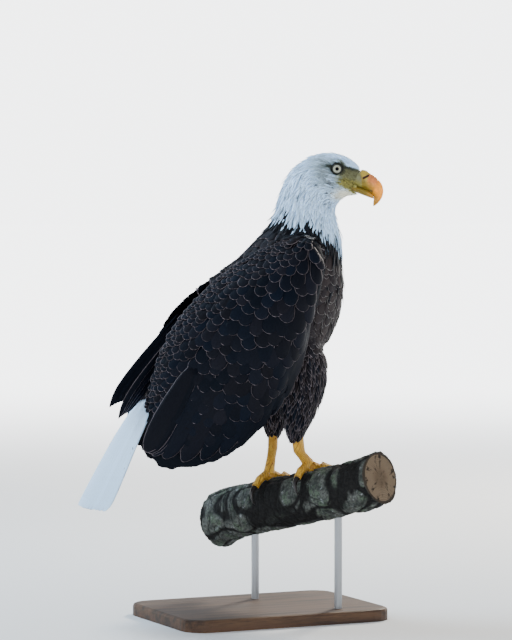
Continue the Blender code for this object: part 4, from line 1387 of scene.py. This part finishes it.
def make_lids(side_name, middle, axes, finish):
    front, top = np.cos(AROUND), np.sin(AROUND)
    inner = LID_INNER - 3.0 * np.clip(top, 0, 1) ** 2 + 5.0 * np.clip(front, 0, 1) ** 10
    rings = []
    for beyond, distance in LID_PROFILE:
        angle = np.radians(inner + beyond)
        stand = distance * MM + 0.5 * MM * np.clip(top, 0, 1) * (beyond > 2) * (beyond < 30)
        rings.append(np.stack([stand * np.cos(angle), stand * np.sin(angle) * front,
                               stand * np.sin(angle) * top], axis=-1))
    back = np.stack([np.full(EYE_SIDES, LID_BACK), LID_FOOT * front, LID_FOOT * top], axis=-1)
    rings = np.array([rings[0] * 0.9] + rings + [back])
    mesh = ring_mesh(f"lids_{side_name}", middle + rings @ axes.T)
    add_piece(f"lids_{side_name}", facing_out(mesh), finish)


def eye_finish():
    finish = Finish("eye", 0.05, Specular_IOR_Level=0.03)
    ring = finish.attribute("ring", "Fac")
    turn = finish.scaled(finish.vane(), (26.0, 26.0, 1.0))
    streaks = finish.remap(finish.noise(turn, 1.0, 3.0), 0.35, 0.65)
    iris = finish.mixed(streaks, (0.20, 0.21, 0.16), (0.34, 0.35, 0.29))
    iris = finish.mixed(finish.remap(ring, PUPIL, PUPIL + 0.9, 0.55, 0.0), iris, (0.25, 0.20, 0.10))
    iris = finish.mixed(finish.remap(ring, IRIS - 1.2, IRIS - 0.1, 0.0, 0.85), iris, (0.10, 0.10, 0.07))
    eye = finish.mixed(finish.remap(ring, PUPIL - 0.15, PUPIL + 0.15), (0.002, 0.002, 0.003), iris)
    finish.colour(finish.mixed(finish.remap(ring, IRIS - 0.1, IRIS + 0.2), eye, (0.008, 0.008, 0.008)))
    return finish.material


def lid_finish():
    finish = Finish("lids", 0.45, Specular_IOR_Level=0.25)
    grain = finish.noise(finish.place(), 900.0)
    finish.colour(finish.mixed(grain, (0.004, 0.005, 0.004), (0.016, 0.019, 0.014)))
    finish.bump(finish.cells(finish.place(), 1400.0), 0.0003, 0.5)
    return finish.material


# ---- bill ---------------------------------------------------------------------------------
CERE_YELLOW = np.array([0.35, 0.24, 0.035])
HORN_PINK = np.array([0.52, 0.165, 0.050])
HORN_YELLOW = np.array([0.78, 0.255, 0.004])
HORN_BROWN = np.array([0.38, 0.17, 0.018])
MANDIBLE_OLIVE = np.array([0.155, 0.105, 0.010])
OLIVE_EDGE = (54.7, -0.59)     # below this line, from its place ahead of the eyes and slope, horn is olive
CERE_REAR = ((-14, 40), (-11, 42), (4, 50), (12, 54))    # how far below the eyes, grey skin reaches ahead
SMUDGE = np.array([0.045, 0.040, 0.025])
# Dark red in the nostril's slit: painted shade in its hollow.
NOSTRIL_RED_SHADE = np.array([0.022, 0.004, 0.002])
NOSTRIL = ((51.0, 2.7), (57.5, 10.0))       # ends of the slit, ahead of and above the eyes, in mm
NOSTRIL_HALF = 2.1
NOSTRIL_DEPTH = 1.6 * MM
GAPE = ((45, -16.6), (34, -17.2), (22, -19.0), (12, -21.6), (4, -24.5))   # the mouth's line, to its corner
GAPE_STEPS = 24
BILL_VOXEL, BILL_GROWN = 0.7 * MM, 0.75 * MM
BILL_CLOSED = 0.8 * MM         # how far the lower bill is closed up against the upper
BILL_ROOTS = {"cere": (42.5, 5), "bill_upper": (59.5, 2), "bill_lower": (41, 6)}   # sunk behind here, by mm


def off_slit(places):
    """mm from the nostril's slit, seen from the side."""
    start, end = np.array(NOSTRIL)
    way = end - start
    flat = places[:, [0, 2]] - start
    share = np.clip(flat @ way / (way @ way), 0, 1)
    return np.linalg.norm(flat - share[:, None] * way, axis=1)


def bill_colours(part, points):
    places = in_head(points)
    x, z = places[:, 0], places[:, 2]
    olive = ramp(-z - OLIVE_EDGE[1] * -(x - OLIVE_EDGE[0]), -4, 6)
    if part == "cere":
        colours = mix(CERE_YELLOW, MANDIBLE_OLIVE, olive)
        rear = line_at(CERE_REAR, -z)
        skin = mix(LORE_LIGHT, FACE_YELLOW, ramp(-z, 2, 10))
        colours = mix(colours, skin, ramp(rear - x, -1.5, 1.5))
    elif part == "bill_lower":
        colours = mix(MANDIBLE_OLIVE, HORN_BROWN, ramp(x, 62, 80))
    else:
        colours = mix(HORN_PINK, HORN_BROWN, ramp(-z - 0.25 * (x - 65), -5, 5))
        colours = mix(colours, HORN_YELLOW, ramp(x - 0.35 * z, 70, 84) * ramp(z + 0.6 * (x - 74), -20, -4))
        colours = mix(colours, CERE_YELLOW, ramp(-x - 0.5 * z, -63, -54))
        colours = mix(colours, MANDIBLE_OLIVE, 0.9 * olive * ramp(-x, -84, -70))
        colours = mix(colours, SMUDGE, 0.85 * np.exp(-((x - 73) / 3.6) ** 2 - ((z + 13.2) / 2.1) ** 2))
        colours = mix(colours, HORN_BROWN, 0.5 * ramp(-z, 26, 38))
    colours = colours * (1 + 0.16 * clumps(points, 160) + 0.10 * clumps(points, 450))[:, None]
    # The slit is painted dark over the real dent: painted shade in the nostril's hollow.
    slit = off_slit(places)
    return mix(colours, NOSTRIL_RED_SHADE, 1 - ramp(slit, NOSTRIL_HALF * 0.7, NOSTRIL_HALF * 1.25))


def make_bill(finish):
    for part, (root, sink) in BILL_ROOTS.items():
        mesh = remeshed(part, (part,), BILL_VOXEL, 3, BILL_GROWN)
        points = read_points(mesh)
        places = in_head(points)
        ahead, sideways, up = HEAD_AXES.T
        if part == "bill_lower":
            points += up * BILL_CLOSED + sideways * (MM * 0.10 * places[:, 1:2])
        behind = 1 - ramp(places[:, 0] + 0.15 * places[:, 2], root, root + 3)
        points -= ahead * (sink * MM * behind)[:, None]
        sunk = NOSTRIL_DEPTH * (1 - ramp(off_slit(places), 0.3, NOSTRIL_HALF * 1.3))
        points -= sideways * (np.sign(places[:, 1]) * sunk)[:, None]
        write_points(mesh, points)
        set_colour(mesh, "coat", bill_colours(part, points))
        add_piece(f"{part}_surface", mesh, finish, (part,))


def horn_finish():
    finish = Finish("bill_horn", 0.4, Coat_Weight=0.06, Coat_Roughness=0.3, Specular_IOR_Level=0.22)
    grain = finish.noise(finish.place(), 260.0, 5.0)
    shade = finish.remap(grain, 0.3, 0.7, 0.88, 1.10)
    finish.colour(finish.dimmed(finish.attribute("coat"), shade))
    finish.roughness(finish.remap(grain, 0.3, 0.7, 0.30, 0.46))
    finish.bump(finish.noise(finish.place(), 700.0, 3.0), 0.0002, 0.35)
    return finish.material


def tube_mesh(name, middles, radii, sides=10):
    """A closed tube of changing width along its middles."""
    along = unit(np.gradient(middles, axis=0))
    first = unit(np.cross(along, np.array([0.1, 0.2, 1.0])))
    second = np.cross(along, first)
    angles = np.linspace(0, 2 * np.pi, sides, endpoint=False)
    rings = (middles[:, None, :] + radii[:, None, None] *
             (first[:, None, :] * np.cos(angles)[None, :, None]
              + second[:, None, :] * np.sin(angles)[None, :, None]))
    return facing_out(ring_mesh(name, rings))


def make_gape(skin, finish):
    """The yellow lips that run back from the bill to the corner of the mouth."""
    places = curve_through(GAPE, np.linspace(0, len(GAPE) - 1, GAPE_STEPS))
    width = np.sin(np.linspace(0.35, 1.0, GAPE_STEPS) * np.pi) ** 0.7
    for side_name, side in SIDES:
        for lip, lift in (("upper", 1.0), ("lower", -1.1)):
            middles = []
            for (x, z), share in zip(places, width):
                start = on_head((x, side * 60, z + lift * share))[0]
                way = -side * HEAD_AXES[:, 1]
                spot = skin.tree.ray_cast(start.tolist(), way.tolist())[0]
                middles.append(np.array(spot) if spot else start + way * 0.04)
            middles = np.array(middles)
            mesh = tube_mesh(f"gape_{lip}_{side_name}", middles, (0.35 + 0.95 * width) * MM)
            set_colour(mesh, "coat", FACE_YELLOW * 1.15)
            add_piece(f"gape_{lip}_{side_name}", mesh, finish)


# ---- feet ---------------------------------------------------------------------------------
PERCH_AXIS = unit(np.array([0.40, -0.88, 0.22]))
PERCH_RADIUS = 47 * MM
PERCH_FORE = unit(np.cross(PERCH_AXIS, np.array([0.0, 0.0, 1.0])) * -1)
PERCH_UP = np.cross(PERCH_AXIS, PERCH_FORE) * -1
PERCH_MIDDLE = STANCE - PERCH_UP * PERCH_RADIUS
FOOT_SPREAD = 48 * MM


def foot_finish():
    finish = Finish("leg_skin", 0.5, Specular_IOR_Level=0.3)
    scales = finish.remap(finish.cells(finish.place(), 380.0, "DISTANCE_TO_EDGE"), 0.0, 0.10)
    phase = finish.math("FRACT", finish.times(finish.attribute("scute", "Fac"), 0.24))
    band = finish.remap(finish.math("ABSOLUTE", finish.math("SUBTRACT", phase, 0.5)), 0.34, 0.5, 1.0, 0.0)
    relief = finish.times(finish.plus(finish.times(scales, 0.45), 0.55), band)
    tone = finish.noise(finish.place(), 90.0, 4.0)
    colour = finish.mixed(finish.remap(tone, 0.35, 0.7), (0.55, 0.27, 0.018), (0.70, 0.40, 0.045))
    finish.colour(finish.mixed(relief, (0.20, 0.09, 0.012), colour))
    finish.bump(relief, 0.0012, 0.9)
    return finish.material


FOOT_SUNK = 26            # mm that the lower leg reaches up among the leg's feathers
FOOT_CLOSED = 1.3 * MM    # the foot's solids are grown by this, which closes the gaps between them,
FOOT_SHRUNK = 0.6 * MM    # and then drawn in by this
SOLE_HEIGHT, SOLE_RADIUS = 5 * MM, 9.5 * MM      # the pad under the foot's middle
FOOT_VOXEL, CLAW_VOXEL, CLAW_GROWN = 1.0 * MM, 0.7 * MM, 0.4 * MM


def round_perch(away):
    """How far along the perch places lie from its middle, and the angle round its axis."""
    return away @ PERCH_AXIS, np.arctan2(away @ PERCH_FORE, away @ PERCH_UP)


def off_axis(away):
    """The part of each offset that is square to the perch's axis."""
    return away - np.outer(away @ PERCH_AXIS, PERCH_AXIS)


def perch_under(side):
    """The middle of the perch under a foot."""
    return PERCH_MIDDLE - PERCH_AXIS * (side * FOOT_SPREAD)


def scute_places(points, side):
    """mm along the toes or up the leg at each point, for the rows of scutes."""
    away = points - perch_under(side)
    along, angle = round_perch(away)
    arc = angle * PERCH_RADIUS
    height = np.linalg.norm(off_axis(away), axis=1) - PERCH_RADIUS
    over_toes = ramp(height, 0.016, 0.024)
    return (np.hypot(along, arc) * (1 - over_toes) + (height + 0.01) * over_toes) / MM


def make_feet(finish, claw_finish):
    for side_name, side in SIDES:
        solids = [f"tarsus_{side_name}"] + [f"toe_{side_name}_{number}" for number in range(1, 5)]
        sole = perch_under(side) + PERCH_UP * (PERCH_RADIUS + SOLE_HEIGHT)
        mesh = remeshed(f"foot_{side_name}", solids, FOOT_VOXEL, 3, FOOT_CLOSED, [(sole, SOLE_RADIUS)])
        points = read_points(mesh) - read_normals(mesh) * FOOT_SHRUNK
        set_number(mesh, "scute", scute_places(points, side))
        points[:, 2] += FOOT_SUNK * MM * ramp(points[:, 2], STANCE[2] + 0.044, STANCE[2] + 0.052)
        write_points(mesh, points)
        add_piece(f"foot_{side_name}", mesh, finish, solids)
        claws = [f"claw_{side_name}_{number}" for number in range(1, 5)]
        mesh = remeshed(f"claws_{side_name}", claws, CLAW_VOXEL, 3, CLAW_GROWN)
        add_piece(f"claws_{side_name}", mesh, claw_finish, claws)


def claw_finish():
    finish = Finish("claw_horn", 0.3, Coat_Weight=0.15, Coat_Roughness=0.15, Specular_IOR_Level=0.3)
    grain = finish.noise(finish.scaled(finish.place(), (300.0, 300.0, 60.0)), 1.0, 3.0)
    finish.colour(finish.mixed(grain, (0.006, 0.006, 0.007), (0.022, 0.018, 0.016)))
    finish.bump(grain, 0.0002, 0.4)
    return finish.material


# ---- perch and stand ----------------------------------------------------------------------
BARK_VOXEL = 2.2 * MM
BARK_DEPTH = 4.5 * MM


def bark_furrow(along, arc):
    """0 on the ridges and up to 1 in the furrows of the bark, at places in mm."""
    sway = 7 * noise.noise((along * 0.018, arc * 0.03, 4.0))
    ridges = abs(noise.noise((along * 0.016, (arc + sway) * 0.105, 1.0)))
    cracks = abs(noise.noise((along * 0.06, (arc + sway) * 0.11, 9.0)))
    furrow = max(0.0, 1 - ridges * 5.0) * 0.8 + max(0.0, 1 - cracks * 8.0) * 0.45
    return min(1.0, furrow)


def make_perch(finish):
    mesh = remeshed("perch_bark", ("perch",), BARK_VOXEL, 2)
    points, normals = read_points(mesh), read_normals(mesh)
    along, angle = round_perch(points - PERCH_MIDDLE)
    along, arc = along / MM, angle * PERCH_RADIUS / MM
    cut = ramp(np.abs(normals @ PERCH_AXIS), 0.6, 0.85)
    furrow = np.array([bark_furrow(a, b) for a, b in zip(along, arc)])
    rough = np.array([noise.fractal(tuple(p), 1.0, 2.1, 4) for p in (points * 140).tolist()])
    depth = (1 - cut) * (BARK_DEPTH * furrow - 0.9 * MM * rough - 0.8 * MM) + cut * 0.3 * MM * rough
    points -= normals * depth[:, None]
    write_points(mesh, points)
    set_number(mesh, "furrow", furrow * (1 - cut))
    set_number(mesh, "cut", cut)
    ends = [points[(cut > 0.5) & (along * sign > 0)].mean(axis=0) for sign in (1, -1)]
    out = off_axis(points - np.where(along[:, None] > 0, ends[0], ends[1]))
    set_number(mesh, "ring", np.linalg.norm(out, axis=1) / MM)
    set_number(mesh, "turn", round_perch(out)[1])
    add_piece("perch_bark", mesh, finish, ("perch",))


def bark_finish():
    finish = Finish("bark", 0.9, Specular_IOR_Level=0.15)
    place = finish.place()
    furrow = finish.attribute("furrow", "Fac")
    tone = finish.noise(place, 55.0, 5.0)
    grain = finish.noise(place, 240.0, 5.0)
    ridge = finish.mixed(finish.remap(tone, 0.38, 0.62), (0.035, 0.040, 0.036), (0.075, 0.080, 0.074))
    lichen = finish.remap(finish.noise(place, 40.0, 6.0, 0.7), 0.50, 0.62)
    ridge = finish.mixed(finish.times(lichen, 0.6), ridge, (0.075, 0.105, 0.072))
    pale = finish.remap(finish.noise(place, 70.0, 5.0, 0.7), 0.58, 0.66)
    ridge = finish.mixed(finish.times(pale, 0.5), ridge, (0.26, 0.28, 0.29))
    bark = finish.mixed(finish.remap(furrow, 0.05, 0.6), ridge, (0.009, 0.009, 0.009))
    speck = finish.remap(grain, 0.3, 0.7, 0.55, 1.35)
    bark = finish.dimmed(bark, speck)
    ring, turn = finish.attribute("ring", "Fac"), finish.attribute("turn", "Fac")
    wobble = finish.noise(place, 30.0, 3.0)
    rings = finish.math("SINE", finish.plus(finish.times(ring, 2.1), finish.times(wobble, 10.0)))
    wood = finish.mixed(finish.remap(rings, -1.0, 0.4), (0.085, 0.058, 0.037), (0.16, 0.118, 0.078))
    wood = finish.mixed(finish.remap(ring, 10.0, 26.0, 0.5, 0.0), wood, (0.055, 0.034, 0.020))
    checks = finish.noise(finish.joined(finish.times(turn, 2.6), finish.times(ring, 0.035)), 1.0, 5.0, 0.75)
    wood = finish.mixed(finish.remap(checks, 0.40, 0.46, 0.95, 0.0), wood, (0.012, 0.009, 0.006))
    wood = finish.mixed(finish.remap(ring, 40.0, 43.0), wood, (0.03, 0.023, 0.017))
    finish.colour(finish.mixed(finish.attribute("cut", "Fac"), bark, wood))
    finish.bump(grain, 0.0015, 0.8)
    return finish.material


def board_finish():
    finish = Finish("stand_board", 0.62, Specular_IOR_Level=0.3)
    place = finish.scaled(finish.place(), (4.0, 46.0, 46.0))
    grain = finish.noise(place, 1.0, 6.0, 0.62)
    pores = finish.noise(finish.scaled(finish.place(), (30.0, 700.0, 700.0)), 1.0, 2.0)
    wood = finish.mixed(finish.remap(grain, 0.36, 0.64), (0.028, 0.014, 0.008), (0.085, 0.043, 0.022))
    finish.colour(finish.mixed(finish.remap(pores, 0.52, 0.7, 0.0, 0.5), wood, (0.012, 0.007, 0.005)))
    finish.bump(pores, 0.0003, 0.3)
    return finish.material


def rod_finish():
    finish = Finish("stand_rod", 0.32, Metallic=1.0)
    place = finish.scaled(finish.place(), (900.0, 900.0, 30.0))
    brush = finish.noise(place, 1.0, 3.0)
    finish.colour(finish.mixed(brush, (0.20, 0.21, 0.22), (0.32, 0.33, 0.35)))
    finish.roughness(finish.remap(brush, 0.3, 0.7, 0.28, 0.46))
    finish.bump(brush, 0.0001, 0.3)
    return finish.material


def refinish(node, material):
    slots = NODES[node].data.materials
    slots.clear()
    slots.append(material)


# ---- everything ---------------------------------------------------------------------------
make_camera()
make_stage()
EYE_FINISH, LID_FINISH, HORN_FINISH = eye_finish(), lid_finish(), horn_finish()
WHITE_FINISH = feather_finish("white_feathers", 0.8, 0.14, roughness=0.7, Specular_IOR_Level=0.2)
DARK_FINISH = feather_finish("dark_feathers", 1.1, 0.30, roughness=0.55, Specular_IOR_Level=0.05)
SKIN = make_skin()
make_head_coat(SKIN, WHITE_FINISH)
make_body_coat(SKIN, DARK_FINISH)
make_leg_coat(SKIN, DARK_FINISH)
for side_name, side in SIDES:
    make_wing(side_name, side, SKIN, DARK_FINISH)
    make_primaries(side_name, side, SKIN, DARK_FINISH)
make_tail(SKIN, WHITE_FINISH)
for side_name, side in SIDES:
    make_eye(side_name, side, EYE_FINISH, LID_FINISH)
make_bill(HORN_FINISH)
make_gape(SKIN, HORN_FINISH)
make_feet(foot_finish(), claw_finish())
make_perch(bark_finish())
refinish("stand_base", board_finish())
for rod in ("stand_rod_left", "stand_rod_right"):
    refinish(rod, rod_finish())
